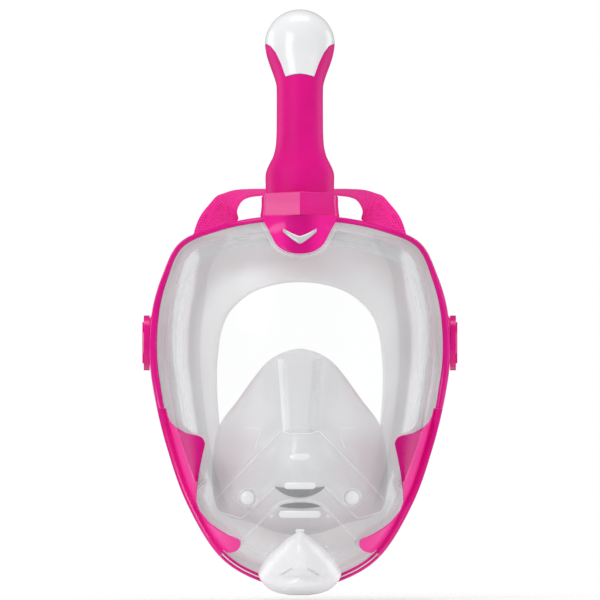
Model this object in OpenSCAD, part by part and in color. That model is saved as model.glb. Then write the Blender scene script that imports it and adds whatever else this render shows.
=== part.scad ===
// Full face snorkel mask with a dry-top tube, a chin drain valve and a head harness.
// Millimetres. X runs across the face, the window looks along -Y, Z is up.
// The origin is on the mid-plane, level with the side clips, at the depth of the side rim.

/* [Mask] */
// Width of the rim across the widest point
mask_w = 195.6; // [192:0.2:199]
// How far the middle of the window stands in front of the side rim
window_depth = 77; // [74:0.5:80]
// Extra reach of the muzzle over nose and mouth
muzzle_reach = 14; // [10:0.5:15]
// Wall thickness of the clear visor
visor_t = 2.2; // [1.8:0.1:2.4]
// Wall thickness of the silicone skirt
skirt_t = 1.8; // [1.4:0.1:2.0]
// Wall thickness of the nose cup
cup_t = 1.4; // [1.0:0.1:1.6]

/* [Tube] */
// Length of the tube's axis, from the socket to the cap
tube_len = 104; // [96:1:112]
// Lean of the tube at the socket, in degrees
lean_low = 8; // [6:0.5:9]
// Lean of the tube at the cap, in degrees
lean_high = 24; // [18:1:26]
// Radius of the domed cap
cap_r = 22.7; // [22.5:0.1:23.2]
// Wall thickness of the tube
tube_t = 1.8; // [1.5:0.1:2.0]

/* [Harness] */
// Width of the woven straps
strap_w = 21; // [18:0.5:21.5]
// Thickness of the woven straps
strap_t = 1.6; // [1.2:0.1:1.8]
// Radius of the round side clips
clip_r = 17.9; // [16:0.1:18.2]

/* [Hidden] */
$fn = 64;
pink = [0.86, 0.05, 0.53];
fabric_pink = [0.93, 0.16, 0.58];
white = [0.93, 0.93, 0.94];
silicone = [0.84, 0.85, 0.86];
clear = [0.9, 0.93, 0.94, 0.4];
wide = mask_w / 195.6;

// ---------------------------------------------------------------- curves and surfaces

function unit(v) = v / norm(v);
function mix(a, b, f) = a + (b - a) * f;
function flip(p) = [-p[0], p[1], p[2]];
function cubic(a, b, c, d, f) =
    0.5 * (2 * b + (c - a) * f + (2 * a - 5 * b + 4 * c - d) * f * f + (3 * b - a - 3 * c + d) * f * f * f);
function along(e, t) =
    let (n = len(e) - 3, s = min(max(t, 0), 0.999999) * n, i = floor(s))
    cubic(e[i], e[i + 1], e[i + 2], e[i + 3], s - i);
// Smooth open path through the knots k, for t from 0 to 1
function path_at(k, t) =
    let (n = len(k) - 1)
    along(concat([2 * k[0] - k[1]], k, [2 * k[n] - k[n - 1]]), t);
// Half of a symmetric outline: its first and last knots lie on the mid-plane
function half_at(k, t) =
    let (n = len(k) - 1)
    along(concat([flip(k[1])], k, [flip(k[n - 1])]), t);
// The whole outline: u runs from 0 to 1 down the right side and from 1 to 2 back up the left
function loop_at(k, u) = u <= 1 ? half_at(k, u) : flip(half_at(k, 2 - u));
function pick(v, k) = is_list(v) ? v[k] : v;

// A sheet of even thickness: rows of points, offset by front and back along the surface normal.
// ring joins the last row to the first, and pole closes the last column to one point.
module sheet(grid, front, back, ring = false, pole = false) {
    rows = len(grid);
    cols = len(grid[0]);
    open_cols = pole ? cols - 1 : cols;
    function row(i) = ring ? (i + rows) % rows : max(0, min(rows - 1, i));
    function du(i, k) = grid[row(i + 1)][k] - grid[row(i - 1)][k];
    function dv(i, k) = grid[i][min(cols - 1, k + 1)] - grid[i][max(0, k - 1)];
    function normal(i, k) = unit(cross(du(i, k), dv(i, k)));
    pole_normal = pole ? unit(normal(0, cols - 2) + normal(floor(rows / 2), cols - 2)) : [0, 0, 1];
    function side(by) = [
        for (i = [0:rows - 1]) for (k = [0:open_cols - 1]) grid[i][k] + pick(by, k) * normal(i, k)
    ];
    function tip(by) = pole ? [grid[0][cols - 1] + pick(by, cols - 1) * pole_normal] : [];
    half = rows * open_cols + (pole ? 1 : 0);
    function at(i, k) = pole && k == cols - 1 ? half - 1 : row(i) * open_cols + k;
    last = ring ? rows - 1 : rows - 2;
    skin = [
        for (i = [0:last]) for (k = [0:cols - 2]) each
            pole && k == cols - 2
                ? [[at(i, k), at(i + 1, k), at(i, k + 1)]]
                : [[at(i, k), at(i + 1, k), at(i + 1, k + 1)], [at(i, k), at(i + 1, k + 1), at(i, k + 1)]]
    ];
    function lid(a, b) = [[a, a + half, b + half], [a, b + half, b]];
    edges = [
        for (i = [0:last]) each
            concat(lid(at(i, 0), at(i + 1, 0)), pole ? [] : lid(at(i + 1, cols - 1), at(i, cols - 1)))
    ];
    ends = ring ? [] : [
        for (k = [0:cols - 2]) each
            concat(lid(at(0, k + 1), at(0, k)), lid(at(rows - 1, k), at(rows - 1, k + 1)))
    ];
    under = [for (f = skin) [f[2] + half, f[1] + half, f[0] + half]];
    closed_solid(concat(side(front), tip(front), side(back), tip(back)), concat(skin, under, edges, ends));
}

// Sections of equal point count joined into a bar with flat ends
module bar(sections) {
    n = len(sections[0]);
    rows = len(sections);
    walls = [
        for (i = [0:rows - 2]) for (k = [0:n - 1]) each
            let (a = i * n + k, b = i * n + (k + 1) % n, c = a + n, d = b + n) [[a, b, d], [a, d, c]]
    ];
    first = [for (k = [n - 1:-1:0]) k];
    last = [for (k = [0:n - 1]) (rows - 1) * n + k];
    closed_solid([for (s = sections) each s], concat(walls, [first, last]));
}

// A polyhedron whose faces are turned outwards, whichever way its points run
module closed_solid(points, faces) {
    signed = [
        for (f = faces) for (j = [1:len(f) - 2]) points[f[0]] * cross(points[f[j]], points[f[j + 1]])
    ];
    total = signed * [for (v = signed) 1];
    turned = total > 0 ? [for (f = faces) [for (j = [len(f) - 1:-1:0]) f[j]]] : faces;
    polyhedron(points, turned, convexity = 8);
}

function oval(a, b, power = 2.3, count = 56) = [
    for (i = [0:count - 1])
        let (q = 360 * i / count, c = cos(q), s = sin(q))
        [a * sign(c) * pow(abs(c), 2 / power), b * sign(s) * pow(abs(s), 2 / power)]
];

// ---------------------------------------------------------------- rim and window

centre_z = -30;
rim_knots = [
    [0, -47, 82.6], [27, -46, 81.4], [54.3, -35, 75.7], [78, -15, 65.2], [89.4, -3, 44], [96.2, 1, 20],
    [97.8, 1.5, -9], [94, -3, -37], [86.3, -14, -68], [73.8, -26, -103], [53.1, -41, -137.3],
    [27.6, -51.5, -153.8], [0, -55, -158.5]
];
stations = 84;
// How far the lip stands in front of the rim line, and how far the rim reaches behind it
lip_front = 2.8;
rim_d = 10.8;
// Depth of the channel, the wall outside it and the hook that closes it
channel_d = 9.2;
rim_wall = 1.6;
hook = 0.5;
// Where the window's edge and the skirt's bead sit in the channel
groove_x = 2.1;
window_y = 0.3;
bead_y = 6.3;
gap = 0.3;
// From the rim's lip to the window's bend
bend = gap + 0.05;
function rim(u) = let (p = loop_at(rim_knots, u)) [p[0] * wide, p[1], p[2]];
function half_u(u) = u <= 1 ? u : 2 - u;
// Width of the rim's front lip
function lip_w(u) = lookup(half_u(u), [[0, 3.3], [0.25, 3.4], [0.42, 5], [0.55, 5.2], [0.6, 4.6], [1, 4.6]]);
function ray(u) = let (p = rim(u)) unit([-p[0], 0, centre_z - p[2]]);
// A point near the rim: inset towards the middle, and depth behind the rim line
function near_rim(u, inset, depth) = rim(u) + inset * ray(u) + [0, depth, 0];

mid_knots = [-46, -62, -72, -77, -79, -79, -77, -70, -56];
mid_top = 84;
mid_step = 30;
wrap_r = 100 * wide;
function mid_y(z) =
    path_at(mid_knots, (mid_top - z) / (mid_step * (len(mid_knots) - 1))) * window_depth / 77;
function muzzle_y(x, z) = muzzle_reach * exp(-pow(x / 24, 2)) * exp(-pow((z + 100) / 38, 2));
function base_y(x, z) =
    mid_y(z) + wrap_r - sqrt(pow(wrap_r, 2) - pow(min(abs(x), 0.98 * wrap_r), 2)) - muzzle_y(x, z);
edge_power = 10;
function visor_edge(u) = near_rim(u, lip_w(u) + bend, window_y);
// Outer surface of the window: share runs from 1 at the rim to 0 in the middle
function visor_at(u, share) =
    let (v = visor_edge(u), x = v[0] * share, z = centre_z + (v[2] - centre_z) * share)
    [x, base_y(x, z) + (v[1] - base_y(v[0], v[2])) * pow(share, edge_power), z];
function share_at(u, inset) =
    let (p = rim(u), far = norm([p[0], p[2] - centre_z])) (far - inset) / (far - lip_w(u) - bend);

chin_at = [0, -69.6, -138];
chin_tilt = 128;
module at_chin() { translate(chin_at) rotate([chin_tilt, 0, 0]) children(); }

module visor() {
    shares = [0.985, 0.95, 0.9, 0.83, 0.74, 0.62, 0.48, 0.32, 0.16, 0];
    grid = [
        for (i = [0:stations - 1]) let (u = 2 * i / stations)
            concat([near_rim(u, groove_x, window_y), visor_edge(u)], [for (s = shares) visor_at(u, s)])
    ];
    color(clear)
    difference() {
        sheet(grid, 0, visor_t, ring = true, pole = true);
        at_chin() cylinder(r = seat_r + 0.2, h = 30, center = true);
    }
}

// Where the rim's upper frame, its brackets and its chin rail meet
rim_split = 0.6;
rail_split = 0.838;
joint_gap = 0.0004;
// The rim's section: a channel that clamps the window and the skirt
function channel(u, lip) = [
    near_rim(u, 0, rim_d), near_rim(u, 0, -1.2), near_rim(u, 1.2, -lip_front + 0.2),
    near_rim(u, lip / 2, -lip_front), near_rim(u, lip - 1, -lip_front + 0.2), near_rim(u, lip, -1.4),
    near_rim(u, lip, 0), near_rim(u, rim_wall, 0), near_rim(u, rim_wall, channel_d),
    near_rim(u, lip - hook, channel_d), near_rim(u, lip - hook, rim_d)
];

module frame() {
    count = 52;
    color(pink)
    bar([
        for (i = [0:count])
            let (u = mix(-rim_split, rim_split, i / count), w = u < 0 ? u + 2 : u)
            channel(w, lip_w(w))
    ]);
}

// Reach of a lower bracket in from the rim: two points with a waist between them
reach_table = [
    [0.602, 5.8], [0.625, 6.2], [0.643, 10.2], [0.655, 14.2], [0.669, 21.4], [0.677, 23.9], [0.689, 24.9],
    [0.699, 23.4], [0.719, 18.6], [0.743, 11.8], [0.76, 6.2], [0.773, 5.8], [0.794, 7.6], [0.825, 13.2],
    [0.854, 17.5], [0.861, 17.5], [0.865, 15.5]
];
// Lower edge of the lower point, where it has come away from the rim
point_low = [[0.83, 5.3], [0.845, 5.4], [0.851, 6.5], [0.858, 9], [0.863, 11.6], [0.865, 13.5]];
point_end = 0.865;
plate_t = 2.2;
plate_gap = 0.35;
function over_visor(u, inset, lift) = let (p = visor_at(u, share_at(u, inset))) p - [0, lift, 0];
function plate(u, first, reach, top, low, n = 5) = concat(
    [for (j = [0:n]) over_visor(u, mix(first, reach, j / n), top)],
    [over_visor(u, reach + 0.3, (top + low) / 2)],
    [for (j = [n:-1:0]) over_visor(u, mix(first, reach, j / n), low)]
);
function bracket_section(u) =
    let (lip = lip_w(u), reach = lookup(u, reach_table))
    concat(
        [near_rim(u, 0, rim_d), near_rim(u, 0, -1.2), near_rim(u, 1.6, -lip_front - 0.4)],
        plate(u, lip + 0.7, reach, plate_t + 0.6, plate_gap),
        [near_rim(u, lip, -0.3), near_rim(u, lip, 0), near_rim(u, rim_wall, 0)],
        [near_rim(u, rim_wall, channel_d), near_rim(u, lip - hook, channel_d), near_rim(u, lip - hook, rim_d)]
    );

module bracket() {
    count = 34;
    point_count = 10;
    inside = 0.05;
    color(pink) {
        bar([
            for (i = [0:count])
                bracket_section(mix(rim_split + joint_gap, rail_split - joint_gap, i / count))
        ]);
        bar([
            for (i = [0:point_count])
                let (u = mix(rail_split - 0.006, point_end, i / point_count))
                plate(
                    u, lookup(u, point_low) + 0.1, lookup(u, reach_table) - inside,
                    plate_t + 0.6 - inside, plate_gap + inside
                )
        ]);
    }
}
module bracket_right() { bracket(); }
module bracket_left() { mirror([1, 0, 0]) bracket(); }

module chin_rail() {
    count = 16;
    color(pink)
    bar([for (i = [0:count]) let (u = mix(rail_split, 2 - rail_split, i / count)) channel(u, lip_w(u))]);
}

tongue_rows = [[83, 24.6], [79, 23.4], [74, 20.6], [69, 18], [64, 15.4], [61, 12], [59, 7.5], [58.2, 3]];
tongue_t = 2.4;
function tongue_y(x, z) = min(base_y(x, z) - 0.35, -50.4);
module front_tongue() {
    cols = 12;
    grid = [
        for (r = tongue_rows) [
            for (k = [0:cols]) let (x = mix(-r[1], r[1], k / cols)) [x, tongue_y(x, r[0]), r[0]]
        ]
    ];
    color(pink) sheet(grid, 0, tongue_t);
}

inlay_t = 0.8;
inlay_half_w = 10.9;
module chevron_inlay() {
    cols = 16;
    grid = [
        for (k = [0:cols]) let (q = mix(-1, 1, k / cols), x = inlay_half_w * q) [
            for (f = [0, 0.5, 1])
                let (z = mix(64.4 + 9.2 * pow(abs(q), 1.25), 71 + 3.3 * q * q, f))
                [x, tongue_y(x, z) - tongue_t - 0.62, z]
        ]
    ];
    color(clear) sheet(grid, 0, inlay_t);
}

// Half-width, top and bottom of each bar
muzzle_rows = [[6.6, -71.5, -75.8], [10.2, -89.9, -94.4], [13.6, -108.4, -113.1]];
module muzzle_bars() {
    cols = 10;
    function round_end(q) = 0.2 + 0.8 * sqrt(1 - pow(abs(q), 8));
    color(white)
    for (b = muzzle_rows) {
        grid = [
            for (k = [0:cols]) let (q = mix(-1, 1, k / cols)) [
                for (f = [-1, 0, 1])
                    let (x = b[0] * q, z = (b[1] + b[2]) / 2 + f * round_end(q) * (b[1] - b[2]) / 2)
                    [x, base_y(x, z) - 1.3, z]
            ]
        ];
        sheet(grid, -0.8, 0.8);
    }
}

// ---------------------------------------------------------------- soft parts behind the window

opening_knots = [
    [0, -24, 41.1], [17, -23, 39.3], [33.1, -18, 33.3], [46, -9, 22], [52, -4, 9], [54.6, -1, -8],
    [55.3, 0, -24], [54.6, -2, -42], [52.5, -5, -62], [49, -10, -84], [38, -20, -106], [19, -29, -118],
    [0, -32, -121]
];
fold_knots = [
    [0, -6, 70], [24, -4, 69], [47, 4, 63.5], [67, 17, 53], [77, 27, 35], [82, 31, 14], [83, 31, -10],
    [81, 28, -34], [75, 21, -62], [65, 9, -93], [47, -6, -122], [22, -17, -137], [0, -20, -141]
];

module skirt() {
    half_t = skirt_t / 2;
    bead = 1.7;
    function fold(u) = loop_at(fold_knots, u);
    function edge(u) = loop_at(opening_knots, u);
    function wall(u, f) = mix(near_rim(u, lip_w(u) + 2.6, 11.5), fold(u), f) - 2.5 * sin(180 * f) * ray(u);
    function seal(u, f) = mix(fold(u), edge(u), f) + [0, 3 * sin(180 * f), 0];
    grid = [
        for (i = [0:stations - 1]) let (u = 2 * i / stations) [
            near_rim(u, groove_x, bead_y), near_rim(u, lip_w(u) - 0.6, bead_y),
            near_rim(u, lip_w(u) + 1.3, 7),
            wall(u, 0), wall(u, 0.35), wall(u, 0.7), wall(u, 0.93),
            seal(u, 0.03), seal(u, 0.2), seal(u, 0.5), seal(u, 0.8), seal(u, 1)
        ]
    ];
    thick = concat([bead, bead], [for (k = [1:9]) half_t], [half_t * 0.7]);
    color(silicone)
    difference() {
        sheet(grid, thick, -thick, ring = true);
        translate([-13, -31, 60]) cube([26, 17, 30]);
    }
}

cup_centre = -70;
cup_knots = [
    [0, -28, -3.8], [8.5, -27, -5.2], [16.2, -25, -8.7], [22.6, -22, -13.7], [30, -17, -22.6],
    [40.2, -10, -36.9], [52.5, -6, -54], [56.5, -6, -73], [57, -8, -92], [54, -13, -107],
    [45, -20, -113.5], [32, -26, -115.5], [16, -31, -116.5], [0, -33, -117]
];
ridge_knots = [-26, -44, -56, -65, -71, -74, -70, -58];
ridge_top = -4;
ridge_step = 17;
function ridge_y(z) = path_at(ridge_knots, (ridge_top - z) / (ridge_step * (len(ridge_knots) - 1)));
function cup_at(u, share) =
    let (
        p = loop_at(cup_knots, u),
        x = p[0] * share,
        z = cup_centre + (p[2] - cup_centre) * share,
        swell = pow(1 - share * share, 0.62) / (1 + pow(x / 46, 2))
    )
    [x, p[1] + (ridge_y(z) - p[1]) * swell, z];
valve_x = 34;
valve_z = -100.5;
valve_y = -40;

module nose_cup() {
    count = 60;
    shares = [1, 0.97, 0.92, 0.84, 0.74, 0.62, 0.48, 0.32, 0.16, 0];
    grid = [for (i = [0:count - 1]) [for (s = shares) cup_at(2 * i / count, s)]];
    color(silicone)
    difference() {
        sheet(grid, 0, cup_t, ring = true, pole = true);
        for (x = [-valve_x, valve_x])
            translate([x, valve_y - 25, valve_z]) rotate([-90, 0, 0]) cylinder(r = 6.2, h = 50);
    }
}

module inhale_seat(x) {
    color(white)
    translate([x, valve_y, valve_z]) rotate([-90, 0, 0])
    difference() {
        translate([0, 0, -4]) cylinder(r = 6, h = 8);
        translate([0, 0, -5]) cylinder(r = 4.2, h = 7.5);
        translate([0, 0, -5]) cylinder(r = 0.85, h = 10);
        for (q = [45:90:315])
            rotate([0, 0, q]) translate([2.5, 0, 1]) cylinder(r = 1.1, h = 4);
    }
}
module inhale_flap(x) {
    color(silicone)
    translate([x, valve_y, valve_z]) rotate([-90, 0, 0]) {
        translate([0, 0, 4.05]) cylinder(r = 5.2, h = 0.7);
        translate([0, 0, -1]) cylinder(r = 0.8, h = 5.2);
    }
}
module inhale_seat_left() { inhale_seat(-valve_x); }
module inhale_seat_right() { inhale_seat(valve_x); }
module inhale_flap_left() { inhale_flap(-valve_x); }
module inhale_flap_right() { inhale_flap(valve_x); }

// A side duct runs behind the window from the socket down to the nose cup
duct_first = 0.05;
duct_last = 0.745;
duct_insets = [[0, 13], [0.2, 14], [0.45, 16.5], [0.6, 15], [0.7, 12.5], [0.76, 12]];
duct_depths = [[0, 7.5], [0.15, 6.5], [0.3, 3], [0.45, 1], [0.6, 1.6], [0.7, 4.4], [1, 5.2]];
function duct_mid(u) = near_rim(u, lookup(u, duct_insets), lookup(u, duct_depths));
duct_a = 4.4;
duct_b = 3.8;
module air_duct() {
    rows = 12;
    stops = 22;
    grid = [
        for (i = [0:rows - 1]) let (q = 360 * i / rows) [
            for (k = [0:stops]) let (u = mix(duct_first, duct_last, k / stops))
                duct_mid(u) + duct_a * cos(q) * ray(u) + [0, duct_b * sin(q), 0]
        ]
    ];
    color(silicone) sheet(grid, -0.5, 0.5, ring = true);
}
module air_duct_right() { air_duct(); }
module air_duct_left() { mirror([1, 0, 0]) air_duct(); }

// The flap hangs just past the lower mouth of the duct, hinged on its outer edge
flap_t = 0.9;
module exhale_flap() {
    p = duct_mid(duct_last);
    r = ray(duct_last);
    color(silicone)
    translate(p) rotate([0, atan2(-r[2], r[0]), 0])
        translate([-4.6, -4, 0.6]) cube([9.2, 8, flap_t]);
}
module exhale_flap_right() { exhale_flap(); }
module exhale_flap_left() { mirror([1, 0, 0]) exhale_flap(); }

// ---------------------------------------------------------------- chin drain valve

seat_r = 13.2;
module chin_valve_seat() {
    color(white)
    at_chin() difference() {
        translate([0, 0, -6]) cylinder(r = seat_r, h = 7.6);
        translate([0, 0, -7]) cylinder(r = 11.2, h = 6);
        translate([0, 0, -7]) cylinder(r = 1.45, h = 10);
        for (q = [0:60:300])
            rotate([0, 0, q]) translate([6.7, 0, -2]) cylinder(r = 2.6, h = 5);
    }
}
module chin_valve_flap() {
    color(silicone)
    at_chin() {
        translate([0, 0, 1.65]) cylinder(r = 11.8, h = 0.9);
        translate([0, 0, -3]) cylinder(r = 1.4, h = 4.8);
    }
}

cap_knots = [
    [0, -122], [6, -125.3], [12.1, -130.3], [20.3, -137.8], [25.4, -145], [26.6, -151], [20.5, -157.6],
    [10, -160.6], [0, -161]
];
cap_middle = [0, -70, -143];
cap_bulge = 19;
module chin_cap() {
    count = 40;
    rim_3d = [for (p = cap_knots) [p[0], min(base_y(p[0], p[1]) - 0.9, -59.4), p[1]]];
    out = unit([0, -0.79, -0.45]);
    shares = [1, 0.97, 0.9, 0.8, 0.66, 0.5, 0.33, 0.16, 0];
    function dome(s) = cap_bulge * pow(1 - pow(s, 2.6), 0.6);
    grid = [
        for (i = [0:count - 1])
            [for (s = shares) mix(cap_middle, loop_at(rim_3d, 2 * i / count), s) + dome(s) * out]
    ];
    color(white) sheet(grid, 0, 1.6, ring = true, pole = true);
}

// ---------------------------------------------------------------- side clips and harness

clip_y = 20;
clip_in = 98 * wide;
clip_out = 101.8 * wide;
module along_x(x0, x1, r, y = clip_y) {
    translate([x0, y, 0]) rotate([0, 90, 0]) cylinder(r = r, h = x1 - x0);
}

module clip_base() {
    color(pink)
    difference() {
        union() {
            translate([92.4 * wide, 12.9, -7]) cube([clip_in - 0.2 - 92.4 * wide, 16, 14]);
            along_x(92.4 * wide, clip_in - 0.2, 9.5);
        }
        along_x(85, 110, 3.02);
        translate([85, 0, -15]) cube([20, 12.9, 30]);
    }
}
module clip_pin() { color("silver") along_x(92.5 * wide, clip_in + 1.5, 3); }
module side_clip() {
    color(pink)
    difference() {
        union() {
            along_x(clip_in, clip_out, clip_r);
            translate([clip_in, clip_y, -13]) cube([clip_out - clip_in, 27, 26]);
        }
        along_x(clip_in - 1, clip_in + 1.6, 3.06);
        along_x(clip_out - 2, clip_out + 1, 7.1);
        translate([clip_in - 1, clip_y + 19, -11]) cube([6, 4.6, 22]);
        translate([clip_in - 1, clip_y + 23.5, -11]) cube([1.6, 5, 22]);
        translate([clip_out - 0.6, clip_y + 23.5, -11]) cube([1.6, 5, 22]);
    }
}
module release_button() { color(white) along_x(clip_out - 0.9, clip_out + 0.3, 7); }

strap_x = (clip_in + clip_out) / 2;
loop_r = 1.9;
// A short woven loop through the clip's slot
module strap_loop() {
    bar_y = clip_y + 25.2;
    outer_r = loop_r + strap_t / 2;
    inner_r = loop_r - strap_t / 2;
    color(fabric_pink)
    translate([strap_x, bar_y, -strap_w / 2])
    linear_extrude(height = strap_w)
    difference() {
        union() {
            circle(r = outer_r + 1.4);
            translate([-outer_r - 1.4, 0]) square([2 * outer_r + 2.8, 13]);
        }
        circle(r = inner_r + 1.4);
        translate([-inner_r - 1.4, 0]) square([2 * inner_r + 2.8, 14]);
    }
}
slider_y = 61;
module strap_slider() {
    color(pink)
    translate([strap_x, slider_y, 0])
    difference() {
        translate([-3.2, 0, -13.5]) cube([6.4, 12, 27]);
        translate([-strap_t / 2 - 0.35, -1, -strap_w / 2 - 0.3]) cube([strap_t + 0.7, 14, strap_w + 0.6]);
        for (x = [-4, 2.4]) translate([x, 3.5, -9]) cube([1.6, 5, 18]);
    }
}

// A woven band: path of centres, with half-width arrows
module ribbon(path, arrows, count) {
    function half(t) = unit(path_at(arrows, t)) * strap_w / 2;
    grid = [for (i = [0:count]) [for (f = [-1, 0, 1]) path_at(path, i / count) + f * half(i / count)]];
    color(fabric_pink) sheet(grid, -strap_t / 2, strap_t / 2);
}
// The long band from the slider round to the pad
module lower_strap() {
    ribbon(
        [[strap_x, 60, 0], [strap_x, 71, 0], [strap_x, 81, 0], [98.6 * wide, 91, 4.5], [94, 100, 10],
         [82.5, 114, 22], [66, 127, 39], [45, 137, 53], [27, 141.5, 61]],
        [[0, 0, 1], [0, 0, 1], [0, 0, 1], [0.06, -0.12, 1], [0.14, -0.22, 1], [0.24, -0.32, 1],
         [0.32, -0.3, 1], [0.34, -0.2, 1], [0.3, -0.1, 1]],
        32
    );
}
// The band that rises from the rim and arches over the crown
module upper_strap() {
    ribbon(
        [[59, -7, 72], [55, -2, 79.5], [48.8, 5, 86.3], [45.4, 10, 91.6], [40.1, 16, 95.8], [33.6, 20, 97.6],
         [24.5, 24, 98.3], [12, 26, 98.8], [0.3, 27, 98.9]],
        [[10.5, 0, -1.5], [10, -1, 3], [8.5, 0.5, 6.5], [4.5, 7.4, 5.9], [1.9, 9.5, 4], [0.3, 10.1, 2.6],
         [-0.4, 10.3, 2], [0, 10.5, 1], [0, 10.5, 0.6]],
        40
    );
}
// The single band from the crown back to the pad
module crown_strap() {
    ribbon(
        [[0, 16, 101.4], [0, 30, 102], [0, 48, 102.2], [0, 70, 101.5], [0, 92, 99.8], [0, 112, 97.2],
         [0, 129, 92.8], [0, 138.4, 84.5], [0, 141.2, 75], [0, 141.4, 65]],
        [[1, 0, 0], [1, 0, 0]],
        40
    );
}
module strap_loop_right() { strap_loop(); }
module strap_loop_left() { mirror([1, 0, 0]) strap_loop(); }
module strap_slider_right() { strap_slider(); }
module strap_slider_left() { mirror([1, 0, 0]) strap_slider(); }
module lower_strap_right() { lower_strap(); }
module lower_strap_left() { mirror([1, 0, 0]) lower_strap(); }
module upper_strap_right() { upper_strap(); }
module upper_strap_left() { mirror([1, 0, 0]) upper_strap(); }
module clip_base_right() { clip_base(); }
module clip_base_left() { mirror([1, 0, 0]) clip_base(); }
module clip_pin_right() { clip_pin(); }
module clip_pin_left() { mirror([1, 0, 0]) clip_pin(); }
module side_clip_right() { side_clip(); }
module side_clip_left() { mirror([1, 0, 0]) side_clip(); }
module release_button_right() { release_button(); }
module release_button_left() { mirror([1, 0, 0]) release_button(); }

pad_half_w = 47;
pad_low = 44;
pad_high = 86;
pad_t = 6;
module rear_pad() {
    cols = 14;
    rows = 8;
    function half(f) = pad_half_w * (0.62 + 0.38 * sin(180 * pow(f, 0.8)));
    function pad_y(x, z) = 136.5 - x * x / 180 - pow((z - 62) / 11, 2);
    grid = [
        for (i = [0:rows]) let (f = i / rows, z = mix(pad_low, pad_high, f)) [
            for (k = [0:cols]) let (x = mix(-half(f), half(f), k / cols)) [x, pad_y(x, z), z]
        ]
    ];
    color([0.25, 0.25, 0.27]) sheet(grid, -pad_t / 2, pad_t / 2);
}

// ---------------------------------------------------------------- tube, socket and dry top

socket_at = [0, -24, 95];
function lean(s) = mix(lean_low, lean_high, min(max(s / tube_len, 0), 1));
turn_r = tube_len / ((lean_high - lean_low) * PI / 180);
// Centre of the tube's bore at distance s from the socket's top
function axis_at(s) =
    s <= 0
        ? socket_at + s * [0, sin(lean_low), cos(lean_low)]
        : socket_at + turn_r * [0, cos(lean_low) - cos(lean(s)), sin(lean(s)) - sin(lean_low)];
function tube_point(s, p) =
    let (q = lean(s)) axis_at(s) + [p[0], p[1] * cos(q), -p[1] * sin(q)];
module at_socket() { translate(socket_at) rotate([-lean_low, 0, 0]) children(); }
module at_cap() { translate(axis_at(tube_len)) rotate([-lean_high, 0, 0]) children(); }

plug = [18.8, 17.9];
pocket = [20.4, 19.5];
latch_z = -7.4;
module tube_socket() {
    color(pink)
    at_socket() difference() {
        union() {
            translate([0, 0, -13.4]) linear_extrude(height = 13.4) polygon(oval(24.9, 23.5));
            translate([-15, 0, 0]) rotate([90, 0, 90]) linear_extrude(height = 30)
                polygon([[-8.1, -12.5], [-8.1, -16.2], [17.9, -18.4], [17.9, -12.5]]);
        }
        translate([0, 0, -11.2]) linear_extrude(height = 12) polygon(oval(pocket[0], pocket[1]));
        translate([-6.5, -5, -30]) cube([13, 19, 30]);
        for (x = [-13, 8.5]) translate([x, -5, -30]) cube([4.5, 19, 30]);
        translate([0, 15, latch_z]) rotate([-90, 0, 0]) cylinder(r = 3.55, h = 12);
    }
}
module latch_button() {
    color(white)
    at_socket() translate([0, 20.6, latch_z]) rotate([-90, 0, 0]) cylinder(r = 3.5, h = 5.2);
}
module tube_seal() {
    color([0.2, 0.2, 0.22])
    at_socket() translate([0, 0, -3]) linear_extrude(height = 2) difference() {
        polygon(oval(pocket[0] - 0.08, pocket[1] - 0.08));
        polygon(oval(plug[0] + 0.05, plug[1] + 0.05));
    }
}

// Half-widths of the tube's oval section: [distance, across, front to back]
tube_rows = [
    [-10.6, 18.8, 17.9], [-4, 18.8, 17.9], [0.25, 18.8, 17.9], [0.4, 22.2, 21], [7, 22.3, 21.2],
    [13, 22.4, 21], [16, 22, 20.6], [20, 20.4, 19.6], [26, 17.5, 18], [33, 15.8, 17.2], [42, 15.2, 17],
    [52, 15.1, 17], [62, 15.05, 17], [71, 15.1, 17], [76, 15.4, 17.4], [82, 16.9, 18.4], [88, 18.9, 19.8],
    [94, 20.9, 21.2], [99, 22.1, 22.2], [104, 22.7, 22.7]
];
function tube_s(s) = s <= 13 ? s : mix(13, tube_len, (s - 13) / 91);
module tube() {
    count = 44;
    grid = [
        for (i = [0:count - 1]) [
            for (r = tube_rows)
                let (o = oval(r[1], r[2], r[0] > 95 ? 2 : 2.3, count)[i])
                tube_point(tube_s(r[0]), o)
        ]
    ];
    color(pink) sheet(grid, 0, -tube_t, ring = true);
}
module tube_divider() {
    stops = 16;
    grid = [
        for (i = [0:stops]) let (
            s = mix(16, 90, i / stops),
            half = lookup(s, [for (r = tube_rows) if (r[0] > 7) [r[0], r[1]]]) - tube_t - 1.1
        ) [for (f = [-1, 0, 1]) tube_point(tube_s(s), [f * half, 3])]
    ];
    color(white) sheet(grid, -0.6, 0.6);
}

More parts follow.
